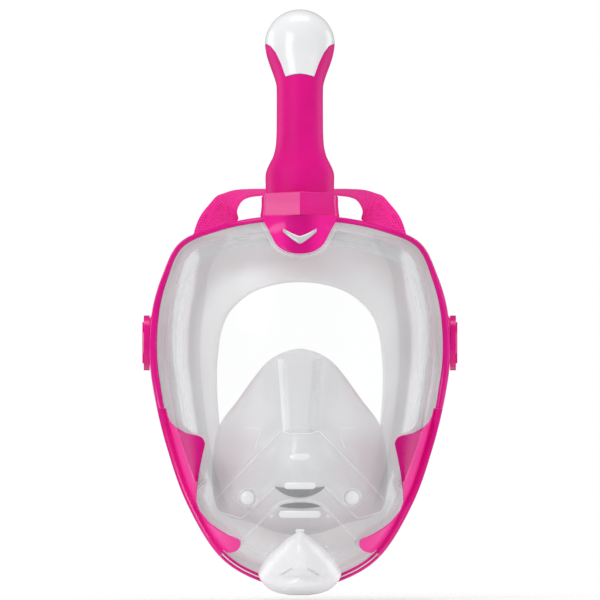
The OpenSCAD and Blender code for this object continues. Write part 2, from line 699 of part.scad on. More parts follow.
module tube_cap() {
    inner_r = cap_r - 1.8;
    color(white)
    at_cap() difference() {
        rotate_extrude() difference() {
            union() {
                intersection() {
                    circle(r = cap_r);
                    translate([0, 0.3]) square(40);
                }
                translate([17.6, -4]) square([1.8, 4.4]);
                translate([17.6, 0.3]) square([4.4, 1.4]);
            }
            intersection() {
                circle(r = inner_r);
                translate([0, 1.7]) square(40);
            }
            translate([-1, -5]) square([18.6, 8]);
        }
        for (q = [50:20:130])
            rotate([0, 0, q]) translate([12, -2, 6]) cube([14, 4, 7]);
    }
}
module float_cage() {
    color(white)
    at_cap() {
        difference() {
            translate([0, 0, -1.4]) cylinder(r = 17.5, h = 1.4);
            translate([0, 0, -3]) cylinder(r = 7, h = 6);
            for (q = [0:60:300]) rotate([0, 0, q + 30]) translate([13.5, 0, -3]) cylinder(r = 2, h = 6);
        }
        for (q = [0:90:270]) rotate([0, 0, q + 45]) translate([9.9, -1.2, -0.2]) cube([1.4, 2.4, 15.2]);
        translate([0, 0, 14.9]) difference() {
            cylinder(r = 11.3, h = 1.3);
            translate([0, 0, -1]) cylinder(r = 5.6, h = 4);
        }
    }
}
float_r = 9.4;
module float() {
    color([0.95, 0.85, 0.3])
    at_cap() translate([0, 0, 0.1]) difference() {
        cylinder(r = float_r, h = 7.9);
        translate([0, 0, -1]) cylinder(r = 4, h = 5);
    }
}
flap_open = 18;
module inlet_flap() {
    color([0.3, 0.3, 0.32])
    at_cap() translate([0, -7.2, 14.2]) rotate([-flap_open, 0, 0]) {
        translate([0, 7, -0.9]) cylinder(r = 6.6, h = 0.9);
        translate([-2, 0, -0.9]) cube([4, 6, 0.9]);
    }
}

visor();
frame();
bracket_left();
bracket_right();
chin_rail();
front_tongue();
chevron_inlay();
tube_socket();
skirt();
nose_cup();
air_duct_left();
air_duct_right();
muzzle_bars();
inhale_seat_left();
inhale_seat_right();
inhale_flap_left();
inhale_flap_right();
exhale_flap_left();
exhale_flap_right();
chin_valve_seat();
chin_valve_flap();
chin_cap();
clip_base_left();
clip_base_right();
clip_pin_left();
clip_pin_right();
side_clip_left();
side_clip_right();
release_button_left();
release_button_right();
strap_loop_left();
strap_loop_right();
strap_slider_left();
strap_slider_right();
upper_strap_left();
upper_strap_right();
crown_strap();
lower_strap_left();
lower_strap_right();
rear_pad();
tube();
tube_divider();
tube_seal();
tube_cap();
float_cage();
float();
inlet_flap();
latch_button();
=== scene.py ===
"""Looks of the full face snorkel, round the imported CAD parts, in millimetres until `mesh_object`."""
import math

import bmesh
import bpy
import numpy as np
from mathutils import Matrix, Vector


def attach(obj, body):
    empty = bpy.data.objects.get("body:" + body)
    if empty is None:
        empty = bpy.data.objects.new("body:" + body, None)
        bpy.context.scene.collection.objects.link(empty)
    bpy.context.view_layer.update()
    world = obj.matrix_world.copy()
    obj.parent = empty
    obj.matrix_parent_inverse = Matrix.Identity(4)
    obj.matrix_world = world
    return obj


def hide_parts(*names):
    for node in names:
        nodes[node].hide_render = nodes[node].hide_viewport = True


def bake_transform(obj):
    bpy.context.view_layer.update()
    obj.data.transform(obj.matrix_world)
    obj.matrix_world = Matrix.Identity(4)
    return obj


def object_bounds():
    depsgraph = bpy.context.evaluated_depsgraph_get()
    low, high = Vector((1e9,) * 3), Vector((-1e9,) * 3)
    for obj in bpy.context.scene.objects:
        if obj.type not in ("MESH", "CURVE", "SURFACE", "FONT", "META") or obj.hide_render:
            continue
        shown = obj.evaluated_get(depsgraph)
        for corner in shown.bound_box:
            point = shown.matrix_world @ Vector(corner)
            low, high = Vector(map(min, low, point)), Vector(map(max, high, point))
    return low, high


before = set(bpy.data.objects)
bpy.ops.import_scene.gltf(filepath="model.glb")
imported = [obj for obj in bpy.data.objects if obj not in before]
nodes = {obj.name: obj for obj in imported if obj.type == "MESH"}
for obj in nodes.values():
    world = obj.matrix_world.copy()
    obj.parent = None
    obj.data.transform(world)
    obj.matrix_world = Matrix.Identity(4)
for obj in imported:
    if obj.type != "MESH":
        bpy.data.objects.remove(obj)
cad_low, cad_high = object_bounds()
MM = 0.001

# ------------------------------------------------------------------ curves


def unit(v):
    v = np.asarray(v, float)
    return v / np.maximum(np.linalg.norm(v, axis=-1, keepdims=True), 1e-12)


def mix(a, b, f):
    return np.asarray(a, float) + (np.asarray(b, float) - np.asarray(a, float)) * f


def along(ends, t):
    """A smooth curve through the inner rows of ends, for t from 0 to 1."""
    e = np.asarray(ends, float)
    n = len(e) - 3
    s = min(max(t, 0.0), 0.999999) * n
    i = int(s)
    f = s - i
    a, b, c, d = e[i], e[i + 1], e[i + 2], e[i + 3]
    square, cube = 2 * a - 5 * b + 4 * c - d, 3 * b - a - 3 * c + d
    return 0.5 * (2 * b + (c - a) * f + square * f * f + cube * f ** 3)


def path_at(knots, t):
    k = np.asarray(knots, float)
    return along([2 * k[0] - k[1], *k, 2 * k[-1] - k[-2]], t)


def mirrored(p):
    return np.array([-p[0], p[1], p[2]])


def loop_at(knots, u):
    """A closed outline: u from 0 to 1 runs down the right side, from 1 to 2 back up the left."""
    k = np.asarray(knots, float)
    half = along([mirrored(k[1]), *k, mirrored(k[-2])], u if u <= 1 else 2 - u)
    return half if u <= 1 else mirrored(half)


def lookup(x, table):
    return float(np.interp(x, [r[0] for r in table], [r[1] for r in table]))


def smooth(f):
    f = min(max(f, 0.0), 1.0)
    return f * f * (3 - 2 * f)


def bump(x, width):
    """1 at 0, falling smoothly to 0 at the given width."""
    return smooth(1 - abs(x) / width)


def oval(q, a, b, power=2.3):
    c, s = math.cos(q), math.sin(q)
    return a * math.copysign(abs(c) ** (2 / power), c), b * math.copysign(abs(s) ** (2 / power), s)


# ------------------------------------------------------------------ meshes


def mesh_object(name, points, faces):
    mesh = bpy.data.meshes.new(name)
    corners = [tuple(np.asarray(p, float) * MM) for p in points]
    mesh.from_pydata(corners, [], [list(map(int, f)) for f in faces])
    obj = bpy.data.objects.new(name, mesh)
    bpy.context.scene.collection.objects.link(obj)
    return obj


def piece(
    name, points, faces, material, body=None, slot=None, replaces=(), sharp=35, uv=None, also=(), shades=None,
):
    """A mesh from points in millimetres, smooth except at edges sharper than the given angle.

    shades gives each face's material: 0 for the main one, then the ones in also.
    """
    obj = mesh_object(name, points, faces)
    mesh = obj.data
    if shades is not None:
        mesh.polygons.foreach_set("material_index", shades)
    mesh.validate()
    mesh.update()
    if uv is not None:
        layer = mesh.uv_layers.new(name="weave")
        for loop in mesh.loops:
            layer.data[loop.index].uv = uv[loop.vertex_index]
    orient(obj)
    finish(obj, sharp)
    for mat in (material, *also):
        mesh.materials.append(mat)
    return place(obj, body, slot, replaces)


def place(obj, body, slot=None, replaces=()):
    """Fixes a piece to its body and hides the CAD nodes it stands for; slot is not used."""
    if body:
        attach(obj, body)
    if replaces:
        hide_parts(*replaces)
    return obj


def orient(obj):
    """Turns every face outwards."""
    bm = bmesh.new()
    bm.from_mesh(obj.data)
    bmesh.ops.recalc_face_normals(bm, faces=bm.faces)
    bm.to_mesh(obj.data)
    bm.free()


def finish(obj, sharp):
    mesh = obj.data
    mesh.polygons.foreach_set("use_smooth", [True] * len(mesh.polygons))
    mesh.set_sharp_from_angle(angle=math.radians(sharp))


def soften(obj, width=0.3, segments=2, angle=35):
    """Small rounded edges that catch the light."""
    bevel = obj.modifiers.new("bevel", "BEVEL")
    bevel.width = width * MM
    bevel.segments = segments
    bevel.limit_method = "ANGLE"
    bevel.angle_limit = math.radians(angle)
    bevel.harden_normals = True
    bevel.use_clamp_overlap = True
    return obj


def baked(obj):
    """Applies obj's modifiers to its mesh."""
    graph = bpy.context.evaluated_depsgraph_get()
    mesh = bpy.data.meshes.new_from_object(obj.evaluated_get(graph))
    old = obj.data
    obj.modifiers.clear()
    obj.data = mesh
    bpy.data.meshes.remove(old)
    return obj


def carve(obj, cutters):
    """Cuts the cutters out of obj and takes them away."""
    for c in cutters:
        cut = obj.modifiers.new("cut", "BOOLEAN")
        cut.object = c
        cut.operation = "DIFFERENCE"
        cut.solver = "EXACT"
    bpy.context.view_layer.update()
    baked(obj)
    for c in cutters:
        bpy.data.objects.remove(c)
    return obj


def tool(points, faces):
    obj = mesh_object("tool", points, faces)
    orient(obj)
    return obj


BOX = [(0, 1, 3, 2), (4, 6, 7, 5), (0, 4, 5, 1), (2, 3, 7, 6), (0, 2, 6, 4), (1, 5, 7, 3)]


def turned(profile, centre, x_axis, y_axis, z_axis, count=64):
    """Points and faces of a solid turned from (radius, height) pairs that start and end on the axis."""
    points, faces = [], []
    inner = profile[1:-1]
    for i in range(count):
        q = 2 * math.pi * i / count
        side = math.cos(q) * np.asarray(x_axis) + math.sin(q) * np.asarray(y_axis)
        points += [np.asarray(centre) + r * side + h * np.asarray(z_axis) for r, h in inner]
    n = len(inner)
    for i in range(count):
        j = (i + 1) % count
        faces += [(i * n + k, j * n + k, j * n + k + 1, i * n + k + 1) for k in range(n - 1)]
    for r, h, k in ((*profile[0], 0), (*profile[-1], n - 1)):
        points.append(np.asarray(centre) + h * np.asarray(z_axis))
        faces += [(len(points) - 1, i * n + k, ((i + 1) % count) * n + k) for i in range(count)]
    return points, faces


def sheet(grid, front, back, ring=False, pole=False):
    """A sheet over a grid of points: front and back are offsets along the normal, one per point."""
    g = np.asarray(grid, float)
    rows, cols = g.shape[:2]
    du = np.roll(g, -1, 0) - np.roll(g, 1, 0)
    if not ring:
        du[0] = g[1] - g[0]
        du[-1] = g[-1] - g[-2]
    dv = np.empty_like(g)
    dv[:, 1:-1] = g[:, 2:] - g[:, :-2]
    dv[:, 0] = g[:, 1] - g[:, 0]
    dv[:, -1] = g[:, -1] - g[:, -2]
    normal = unit(np.cross(du, dv))
    if pole:
        normal[:, -1] = unit(normal[:, -2].mean(0))
    points = []
    index = []
    for by in (front, back):
        moved = g + np.broadcast_to(np.asarray(by, float), (rows, cols))[..., None] * normal
        table = np.zeros((rows, cols), int)
        for i in range(rows):
            for k in range(cols):
                if pole and k == cols - 1 and i:
                    table[i, k] = table[0, k]
                else:
                    table[i, k] = len(points)
                    points.append(moved[i, k])
        index.append(table)
    a, b = index
    faces = []
    last = rows if ring else rows - 1
    for i in range(last):
        j = (i + 1) % rows
        for k in range(cols - 1):
            if pole and k == cols - 2:
                faces.append((a[i, k], a[j, k], a[i, k + 1]))
                faces.append((b[i, k + 1], b[j, k], b[i, k]))
            else:
                faces.append((a[i, k], a[j, k], a[j, k + 1], a[i, k + 1]))
                faces.append((b[i, k + 1], b[j, k + 1], b[j, k], b[i, k]))
        faces.append((a[i, 0], b[i, 0], b[j, 0], a[j, 0]))
        if not pole:
            faces.append((a[i, -1], a[j, -1], b[j, -1], b[i, -1]))
    if not ring:
        for k in range(cols - 1):
            faces.append((a[0, k], a[0, k + 1], b[0, k + 1], b[0, k]))
            faces.append((a[-1, k], b[-1, k], b[-1, k + 1], a[-1, k + 1]))
    return points, faces


def hull_faces(rows, n, closed=False):
    """Faces of a bar of rows sections with n points each: flat ends, or joined up into a ring."""
    faces = [
        (i * n + k, i * n + (k + 1) % n, (i + 1) % rows * n + (k + 1) % n, (i + 1) % rows * n + k)
        for i in range(rows if closed else rows - 1)
        for k in range(n)
    ]
    if not closed:
        faces += [tuple(range(n)), tuple((rows - 1) * n + k for k in reversed(range(n)))]
    return faces


def bar(sections):
    """Sections of equal point count joined into a bar with flat ends."""
    s = np.asarray(sections, float)
    return s.reshape(-1, 3), hull_faces(*s.shape[:2])


def both_sides(points, faces):
    """(side, points) for the right-hand piece and its mirror image."""
    left = [mirrored(p) for p in points]
    return (("right", points), ("left", left))


# ------------------------------------------------------------------ materials


def node_makers(tree):
    """(node maker, link maker) for an emptied node tree.

    The node maker takes inputs by name: a value, or (node, output name) to link from.
    """
    tree.nodes.clear()

    def link(source, out, target, into):
        tree.links.new(source.outputs[out], target.inputs[into])

    def node(kind, **values):
        made = tree.nodes.new(f"ShaderNode{kind}")
        for key, value in values.items():
            socket = key.replace("_", " ")
            if isinstance(value, tuple) and isinstance(value[0], bpy.types.Node):
                link(*value, made, socket)
            elif socket in made.inputs:
                made.inputs[socket].default_value = value
            else:
                setattr(made, key, value)
        return made

    return node, link


def material(name):
    """An empty node material: (material, node maker, link maker)."""
    m = bpy.data.materials.new(name)
    m.use_nodes = True
    return m, *node_makers(m.node_tree)


def surface(
    name, colour, dark, rough, grain=900, bump_depth=0.05, coat=0.0, shine=0.5, metal=0.0, wear=0.06,
    side=None,
):
    """Plastic, rubber or metal: mottled colour, uneven roughness, fine grain in the bump.

    side is a colour it changes to away from the middle plane, standing for light on sloping sides.
    """
    m, node, link = material(name)
    place = node("TexCoord")
    cloud = node("TexNoise", Scale=38.0, Detail=4.0, Vector=(place, "Object"))
    fine = node("TexNoise", Scale=grain, Detail=2.0, Vector=(place, "Object"))
    tint = node("MixRGB", Color1=(*dark, 1), Color2=(*colour, 1))
    ramp = node("MapRange", From_Min=0.3, From_Max=0.6, Value=(cloud, "Fac"))
    link(ramp, "Result", tint, "Fac")
    gloss = node(
        "MapRange", To_Min=max(rough - wear, 0.02), To_Max=rough + wear, Value=(cloud, "Fac"),
    )
    bumps = node("Bump", Strength=bump_depth, Distance=0.0004, Height=(fine, "Fac"))
    shader = node(
        "BsdfPrincipled", Metallic=metal, Coat_Weight=coat, Coat_Roughness=0.08,
        Specular_IOR_Level=shine, Base_Color=(tint, "Color"), Roughness=(gloss, "Result"),
        Normal=(bumps, "Normal"),
    )
    # The colour towards the sides is painted light on sloping sides.
    if side:
        split = node("SeparateXYZ", Vector=(place, "Object"))
        away = node("Math", operation="ABSOLUTE")
        link(split, "X", away, 0)
        fade = node(
            "MapRange", interpolation_type="SMOOTHSTEP", From_Min=0.003, From_Max=0.015,
            Value=(away, "Value"),
        )
        painted_side_light = node("MixRGB", Color2=(*side, 1), Fac=(fade, "Result"), Color1=(tint, "Color"))
        link(painted_side_light, "Color", shader, "Base Color")
    node("OutputMaterial", Surface=(shader, "BSDF"))
    return m


def see_through(name, colour, rough, facing, grazing, bump_depth=0.1, coat=0.3, painted_glow=0.1):
    """Frosted silicone: the share of light it stops grows from facing to grazing views. Its emission is a
    painted glow.
    """
    m, node, link = material(name)
    place = node("TexCoord")
    cloud = node("TexNoise", Scale=30.0, Detail=5.0, Vector=(place, "Object"))
    stretch = node("Mapping", Scale=(1.0, 1.0, 0.12), Vector=(place, "Object"))
    streak = node("TexNoise", Scale=170.0, Detail=2.0, Vector=(stretch, "Vector"))
    bumps = node("Bump", Strength=bump_depth, Distance=0.002, Height=(streak, "Fac"))
    dark = [c * 0.9 for c in colour]
    tint = node("MixRGB", Color1=(*dark, 1), Color2=(*colour, 1), Fac=(cloud, "Fac"))
    # Its emission is a painted glow, light the silicone gives off though it is no lamp.
    shader = node(
        "BsdfPrincipled", Roughness=rough, Coat_Weight=coat, Coat_Roughness=0.12,
        Emission_Strength=painted_glow, Base_Color=(tint, "Color"), Normal=(bumps, "Normal"),
        Emission_Color=(tint, "Color"),
    )
    glow = node("BsdfTranslucent", Color=(tint, "Color"))
    body = node("MixShader", Fac=0.25)
    link(shader, "BSDF", body, 1)
    link(glow, "BSDF", body, 2)
    clear = node("BsdfTransparent", Color=(0.97, 0.97, 0.975, 1))
    view = node("LayerWeight", Blend=0.5)
    share = node("MapRange", To_Min=facing, To_Max=grazing, Value=(view, "Facing"))
    both = node("MixShader", Fac=(share, "Result"))
    link(clear, "BSDF", both, 1)
    link(body, "Shader", both, 2)
    node("OutputMaterial", Surface=(both, "Shader"))
    return m


def clear_window(name):
    """Clear polycarbonate: straight through in the middle, grey and shiny where it turns away."""
    m, node, link = material(name)
    place = node("TexCoord")
    cloud = node("TexNoise", Scale=14.0, Detail=2.0, Vector=(place, "Object"))
    bumps = node("Bump", Strength=0.04, Distance=0.001, Height=(cloud, "Fac"))
    view = node("LayerWeight", Blend=0.5)
    curve = node("Math", operation="POWER")
    curve.inputs[1].default_value = 4.0
    link(view, "Facing", curve, 0)
    tint = node(
        "MixRGB", Color1=(0.995, 0.997, 0.998, 1), Color2=(0.9, 0.905, 0.91, 1),
        Fac=(curve, "Value"),
    )
    clear = node("BsdfTransparent", Color=(tint, "Color"))
    shine = node("BsdfGlossy", Roughness=0.06, Normal=(bumps, "Normal"))
    rough = node("MapRange", To_Min=0.1, To_Max=0.22, Value=(cloud, "Fac"))
    link(rough, "Result", shine, "Roughness")
    mirror = node("Fresnel", IOR=1.42, Normal=(bumps, "Normal"))
    half = node("Math", operation="MULTIPLY")
    half.inputs[1].default_value = 0.16
    link(mirror, "Fac", half, 0)
    both = node("MixShader", Fac=(half, "Value"))
    link(clear, "BSDF", both, 1)
    link(shine, "BSDF", both, 2)
    node("OutputMaterial", Surface=(both, "Shader"))
    return m


def webbing(name, colour, dark, pitch=0.9):
    """Woven band: the weave follows the mesh's weave coordinates, in millimetres across and along."""
    m, node, link = material(name)
    place = node("UVMap", uv_map="weave")
    heights = []
    for turn in (0.0, math.pi / 2):
        spin = node("Mapping", Rotation=(0, 0, turn), Vector=(place, "UV"))
        wave = node(
            "TexWave", Scale=0.3 / pitch, Distortion=0.6, Detail_Scale=2.0,
            Vector=(spin, "Vector"),
        )
        heights.append(wave)
    weave = node("Math", operation="MAXIMUM")
    link(heights[0], "Fac", weave, 0)
    link(heights[1], "Fac", weave, 1)
    cloud = node("TexNoise", Scale=0.35, Detail=4.0, Vector=(place, "UV"))
    blend = node("Math", operation="MULTIPLY")
    link(weave, "Value", blend, 0)
    link(cloud, "Fac", blend, 1)
    tint = node("MixRGB", Color1=(*dark, 1), Color2=(*colour, 1))
    spread = node("MapRange", From_Min=0.1, From_Max=0.5, Value=(blend, "Value"))
    link(spread, "Result", tint, "Fac")
    bumps = node("Bump", Strength=0.5, Distance=0.0004, Height=(weave, "Value"))
    shader = node(
        "BsdfPrincipled", Roughness=0.75, Sheen_Weight=0.05, Specular_IOR_Level=0.15,
        Base_Color=(tint, "Color"), Normal=(bumps, "Normal"),
    )
    node("OutputMaterial", Surface=(shader, "BSDF"))
    return m


PINK_GLOSS = surface(
    "pink_gloss_plastic", (0.80, 0.003, 0.265), (0.74, 0.002, 0.24), 0.22, 500, 0.03, coat=0.12, shine=0.3,
)
PINK_MATTE = surface(
    "pink_satin_plastic", (0.74, 0.003, 0.235), (0.66, 0.002, 0.2), 0.5, 1400, 0.12, shine=0.12,
)
# Lit and shaded copies of the one pink plastic, for the bracket facets: painted light and painted shade.
PINK_PAINTED_LIT = surface(
    "pink_painted_lit_facet", (0.95, 0.02, 0.34), (0.88, 0.012, 0.3), 0.34, 700, 0.05, coat=0.1, shine=0.5,
)
PINK_PAINTED_SHADE = surface(
    "pink_painted_shade_facet", (0.62, 0.002, 0.2), (0.56, 0.002, 0.18), 0.3, 700, 0.05, shine=0.1,
)
# The tongue's pink is painted: darker in the middle for painted shade, lighter towards the sides for painted
# light on the sloping sides.
PINK_TONGUE_PAINTED_LIGHT_AND_SHADE = surface(
    "pink_tongue_painted_light_and_shade", (0.66, 0.002, 0.22), (0.6, 0.002, 0.2), 0.26, 700, 0.04, 0.1, 0.2,
    side=(0.9, 0.012, 0.31),
)
WHITE = surface("white_gloss_plastic", (0.86, 0.865, 0.87), (0.82, 0.825, 0.83), 0.26, 700, 0.04, coat=0.2)
# The last number of each silicone is its painted glow: light it gives off though it is no lamp.
SKIRT = see_through("frosted_silicone", (0.85, 0.855, 0.855), 0.4, 0.84, 0.95, 0.14, 0.25, 0.19)
CUP_SKIN = see_through("clear_silicone", (0.86, 0.87, 0.87), 0.3, 0.58, 0.95, 0.14, 0.4, 0.08)
# The thin and the bright silicone also carry painted highlights: the nose strip bands, the cup's fold cords
# and the muzzle lines.
THIN_SILICONE_AND_HIGHLIGHT = see_through("thin_silicone_and_painted_highlight", (0.94, 0.95, 0.95), 0.3, 0.2, 0.75, 0.1, 0.4, 0.14)
BRIGHT_SILICONE_AND_HIGHLIGHT = see_through("bright_silicone_and_painted_highlight", (0.95, 0.955, 0.96), 0.25, 0.75, 0.95, 0.05, 0.5, 0.22)
# A grey see-through sheet for painted shade under the bowl and behind the arch.
SHADE = see_through("painted_shade_silicone", (0.5, 0.505, 0.51), 0.35, 0.42, 0.75, 1.0, 0.8, 0.0)
CLEAR = clear_window("clear_polycarbonate")
RUBBER = surface("black_rubber", (0.02, 0.02, 0.022), (0.012, 0.012, 0.013), 0.6, 1200, 0.2)
STEEL = surface("brushed_steel", (0.62, 0.62, 0.64), (0.52, 0.52, 0.54), 0.3, 1500, 0.15, metal=1.0)
FOAM = surface("closed_foam", (0.85, 0.55, 0.06), (0.7, 0.42, 0.04), 0.85, 900, 0.6)
LENS = surface("frosted_lens", (0.66, 0.675, 0.68), (0.52, 0.53, 0.54), 0.12, 300, 0.02, coat=1.0)
STRAP = webbing("woven_webbing", (1.0, 0.035, 0.38), (0.66, 0.008, 0.2), 1.5)
PAD = webbing("knitted_cover", (0.74, 0.015, 0.27), (0.55, 0.006, 0.18), 1.6)


# ------------------------------------------------------------------ rim and window

CENTRE_Z = -30
rim_depth = 10.8
RIM = [
    [0, -47, 82.6], [27, -46, 81.4], [54.3, -35, 75.7], [78, -15, 65.2], [89.4, -3, 44], [96.2, 1, 20],
    [97.8, 1.5, -9], [94, -3, -37], [86.3, -14, -68], [73.8, -26, -103], [53.1, -41, -137.3],
    [27.6, -51.5, -153.8], [0, -55, -158.5],
]
LIP = [[0, 3.3], [0.25, 3.4], [0.42, 5], [0.55, 5.2], [0.6, 4.6], [1, 4.6]]
MIDDLE = [-46, -62, -72, -77, -79, -79, -77, -70, -56]
MIDDLE_TOP = 84
MIDDLE_STEP = 30
WRAP = 100


def half_u(u):
    return u if u <= 1 else 2 - u


def rim(u):
    return loop_at(RIM, u % 2)


def lip(u):
    return lookup(half_u(u % 2), LIP)


def near_rim(u, inset, depth):
    """A point near the rim: inset towards the middle, and depth behind the rim line."""
    p = rim(u)
    ray = unit([-p[0], 0, CENTRE_Z - p[2]])
    return p + inset * ray + np.array([0, depth, 0])


def ray(u):
    p = rim(u)
    return unit([-p[0], 0, CENTRE_Z - p[2]])


def base_y(x, z):
    t = (MIDDLE_TOP - z) / (MIDDLE_STEP * (len(MIDDLE) - 1))
    middle = path_at([[v] for v in MIDDLE], t)[0]
    side = WRAP - math.sqrt(WRAP ** 2 - min(abs(x), 0.98 * WRAP) ** 2)
    muzzle = 14 * math.exp(-((x / 24) ** 2)) * math.exp(-(((z + 100) / 38) ** 2))
    return middle + side - muzzle


def visor_edge(u):
    return near_rim(u, lip(u) + 0.35, 0.3)


def visor_at(u, share):
    v = visor_edge(u)
    x, z = v[0] * share, CENTRE_Z + (v[2] - CENTRE_Z) * share
    return np.array([x, base_y(x, z) + (v[1] - base_y(v[0], v[2])) * share ** 10, z])


def share_at(u, inset):
    p = rim(u)
    far = math.hypot(p[0], p[2] - CENTRE_Z)
    return (far - inset) / (far - lip(u) - 0.35)


def line_gap(x, z, ax, az, bx, bz):
    """Distance from (x, z) to the stretch between two points."""
    dx, dz = bx - ax, bz - az
    t = min(max(((x - ax) * dx + (z - az) * dz) / (dx * dx + dz * dz), 0), 1)
    return math.hypot(x - ax - t * dx, z - az - t * dz)


def visor_relief(x, z):
    """Moulded ridges on the muzzle: a diagonal to each bracket and a cheek line."""
    x = abs(x)
    diagonal = line_gap(x, z, 17, -104.5, 36.5, -127)
    cheek = line_gap(x, z, 17, -104.5, 30, -84)
    return 0.9 * bump(diagonal, 1.5) + 0.5 * bump(cheek, 1.3)


CHIN = np.array([0, -69.6, -138])
CHIN_TILT = math.radians(128)
CHIN_Y = np.array([0, math.cos(CHIN_TILT), math.sin(CHIN_TILT)])
CHIN_Z = np.array([0, -math.sin(CHIN_TILT), math.cos(CHIN_TILT)])
X = np.array([1.0, 0, 0])
Z = np.array([0, 0, 1.0])


def visor():
    stations = 220
    shares = [0.985, 0.965] + [0.94 * (1 - i / 62) for i in range(63)]
    grid, front = [], []
    for i in range(stations):
        u = 2 * i / stations
        row = [near_rim(u, 2.1, 0.3), visor_edge(u)] + [visor_at(u, s) for s in shares]
        grid.append(row)
        front.append([0.0, 0.0] + [-visor_relief(p[0], p[2]) for p in row[2:]])
    points, faces = sheet(grid, front, 2.2, ring=True, pole=True)
    obj = piece("window", points, faces, CLEAR, sharp=50)
    hole = tool(*turned([(0, -15), (13.4, -15), (13.4, 15), (0, 15)], CHIN, X, CHIN_Y, CHIN_Z))
    carve(obj, [hole])
    finish(obj, 50)
    place(obj, "mask", "clear_window", ["visor"])


def rounded_channel(u, w):
    """The rim's section: a rounded bead in front, a channel for window and skirt behind."""
    steps = 9
    bead = []
    for i in range(steps + 1):
        q = math.pi * i / steps
        inset = w / 2 - w / 2 * math.cos(q)
        depth = -1.3 - 1.9 * math.sin(q) ** 0.8
        bead.append(near_rim(u, inset, depth))
    back = [
        (w, 0), (1.6, 0), (1.6, 9.2), (w - 0.5, 9.2), (w - 0.5, 10.8), (0, 10.8), (-0.25, 4.5),
        (-0.25, 3.6),
    ]
    return bead + [near_rim(u, a, b) for a, b in back]


RIM_SPLIT = 0.6004
RAIL_SPLIT = 0.838
SEAM = 0.0002


def rim_frame():
    count = 220
    us = [mix(-RIM_SPLIT, RIM_SPLIT, i / count) for i in range(count + 1)]
    points, faces = bar([rounded_channel(u, lip(u)) for u in us])
    obj = piece("rim_frame", points, faces, PINK_GLOSS, "mask", "pink_gloss", ["frame"])
    soften(obj, 0.35)


REACH = [
    [0.6, 5.2], [0.616, 5.3], [0.63, 6.8], [0.643, 10.2], [0.655, 14.2], [0.6686, 21.4], [0.676, 23.8],
    [0.683, 24.7], [0.69, 24.9], [0.698, 23.5], [0.7186, 18.6], [0.7427, 11.8], [0.7603, 6.2], [0.7727, 5.4],
    [0.794, 7.5], [0.825, 13.2], [0.854, 17.5], [0.861, 17.6], [0.8635, 16.6], [0.865, 14.8],
]
POINT_LOW = [[0.83, 4.9], [0.845, 5.3], [0.851, 6.5], [0.858, 9], [0.862, 11], [0.864, 12.8], [0.865, 14]]
CREASE = [[0.6, 9.8], [0.648, 9.8], [0.737, 11.6], [0.75, 40]]


def over_visor(u, inset, lift):
    return visor_at(u, share_at(u, inset)) - np.array([0, lift, 0])


def bracket_section(u):
    """Outer bead, an outer facet (painted light) up to a crease, then a facet that falls to the window."""
    w = lip(u)
    free = u > RAIL_SPLIT
    first = lookup(u, POINT_LOW) if free else w + 0.2
    reach = max(lookup(u, REACH), first + 0.6)
    crease = max(first + 0.2, min(lookup(u, CREASE), reach - 0.5))
    top = 2.4 + 2.6 * min((crease - w - 0.2) / 6, 1)
    steps = 6
    outer = []
    for j in range(steps + 1):
        inset = mix(first, crease, j / steps).item()
        outer.append(over_visor(u, inset, mix(2.4, top, (inset - w - 0.2) / (crease - w - 0.2)).item()))
    shares = [j / steps for j in range(1, steps + 1)]
    inner = [over_visor(u, mix(crease, reach, f), mix(top, 1.6, f)) for f in shares]
    under = [over_visor(u, mix(first + 0.4, reach, j / steps), 0.35) for j in range(steps, -1, -1)]
    if free:
        bead = [over_visor(u, first, mix(1.3, 2.2, j / 6)) for j in range(7)]
        back = [over_visor(u, first, mix(0.4, 1.2, j / 5)) for j in range(6)]
    else:
        bead = [
            (0, rim_depth), (-0.25, 3.6), (0, -1.0), (0.35, -2.2), (1.2, -2.8), (2.3, -2.8), (3.2, -2.3),
        ]
        back = [(w, -0.3), (w, 0), (1.6, 0), (1.6, 9.2), (w - 0.5, 9.2), (w - 0.5, rim_depth)]
        bead = [near_rim(u, a, b) for a, b in bead]
        back = [near_rim(u, a, b) for a, b in back]
    return bead + outer + inner + [over_visor(u, reach + 0.3, 1.0)] + under + back


def bracket_shades(us, width, total):
    """Pinks that stand for light and shade: a light outer facet, a deep one inside the crease."""
    shades = []
    for u in us[:-1]:
        creased = 0.64 < u < 0.745
        for k in range(width):
            if 7 <= k < 13:
                shades.append(1)
            elif 13 <= k < 20:
                shades.append(2 if creased else 1)
            else:
                shades.append(0)
    return shades + [0] * (total - len(shades))


def brackets():
    us = [mix(RIM_SPLIT + SEAM, RAIL_SPLIT - SEAM, i / 120) for i in range(121)]
    us += [mix(RAIL_SPLIT + SEAM, 0.865, i / 24) for i in range(25)]
    points, faces = bar([bracket_section(u) for u in us])
    shades = bracket_shades(us, len(points) // len(us), len(faces))
    for side, pts in both_sides(points, faces):
        # The second and third materials paint light and shade on the facets.
        obj = piece(
            f"lower_bracket_{side}", pts, faces, PINK_GLOSS, "mask", "pink_gloss", [f"bracket_{side}"], 22,
            also=(PINK_PAINTED_LIT, PINK_PAINTED_SHADE), shades=shades,
        )
        soften(obj, 0.22, 3, 40)


def rail_section(u):
    """Two round rails side by side with a groove between them."""
    w = lip(u)
    front = [
        (0, rim_depth), (-0.2, 3), (0, -1.4), (0.4, -2.6), (1.0, -3.1), (1.6, -2.6), (1.8, -1.6), (2.9, -1.6),
        (3.1, -2.4), (3.6, -2.8), (4.3, -2.3), (w, -1.2), (w, 0), (1.6, 0), (1.6, 9.2), (w - 0.5, 9.2),
        (w - 0.5, rim_depth),
    ]
    return [near_rim(u, a, b) for a, b in front]


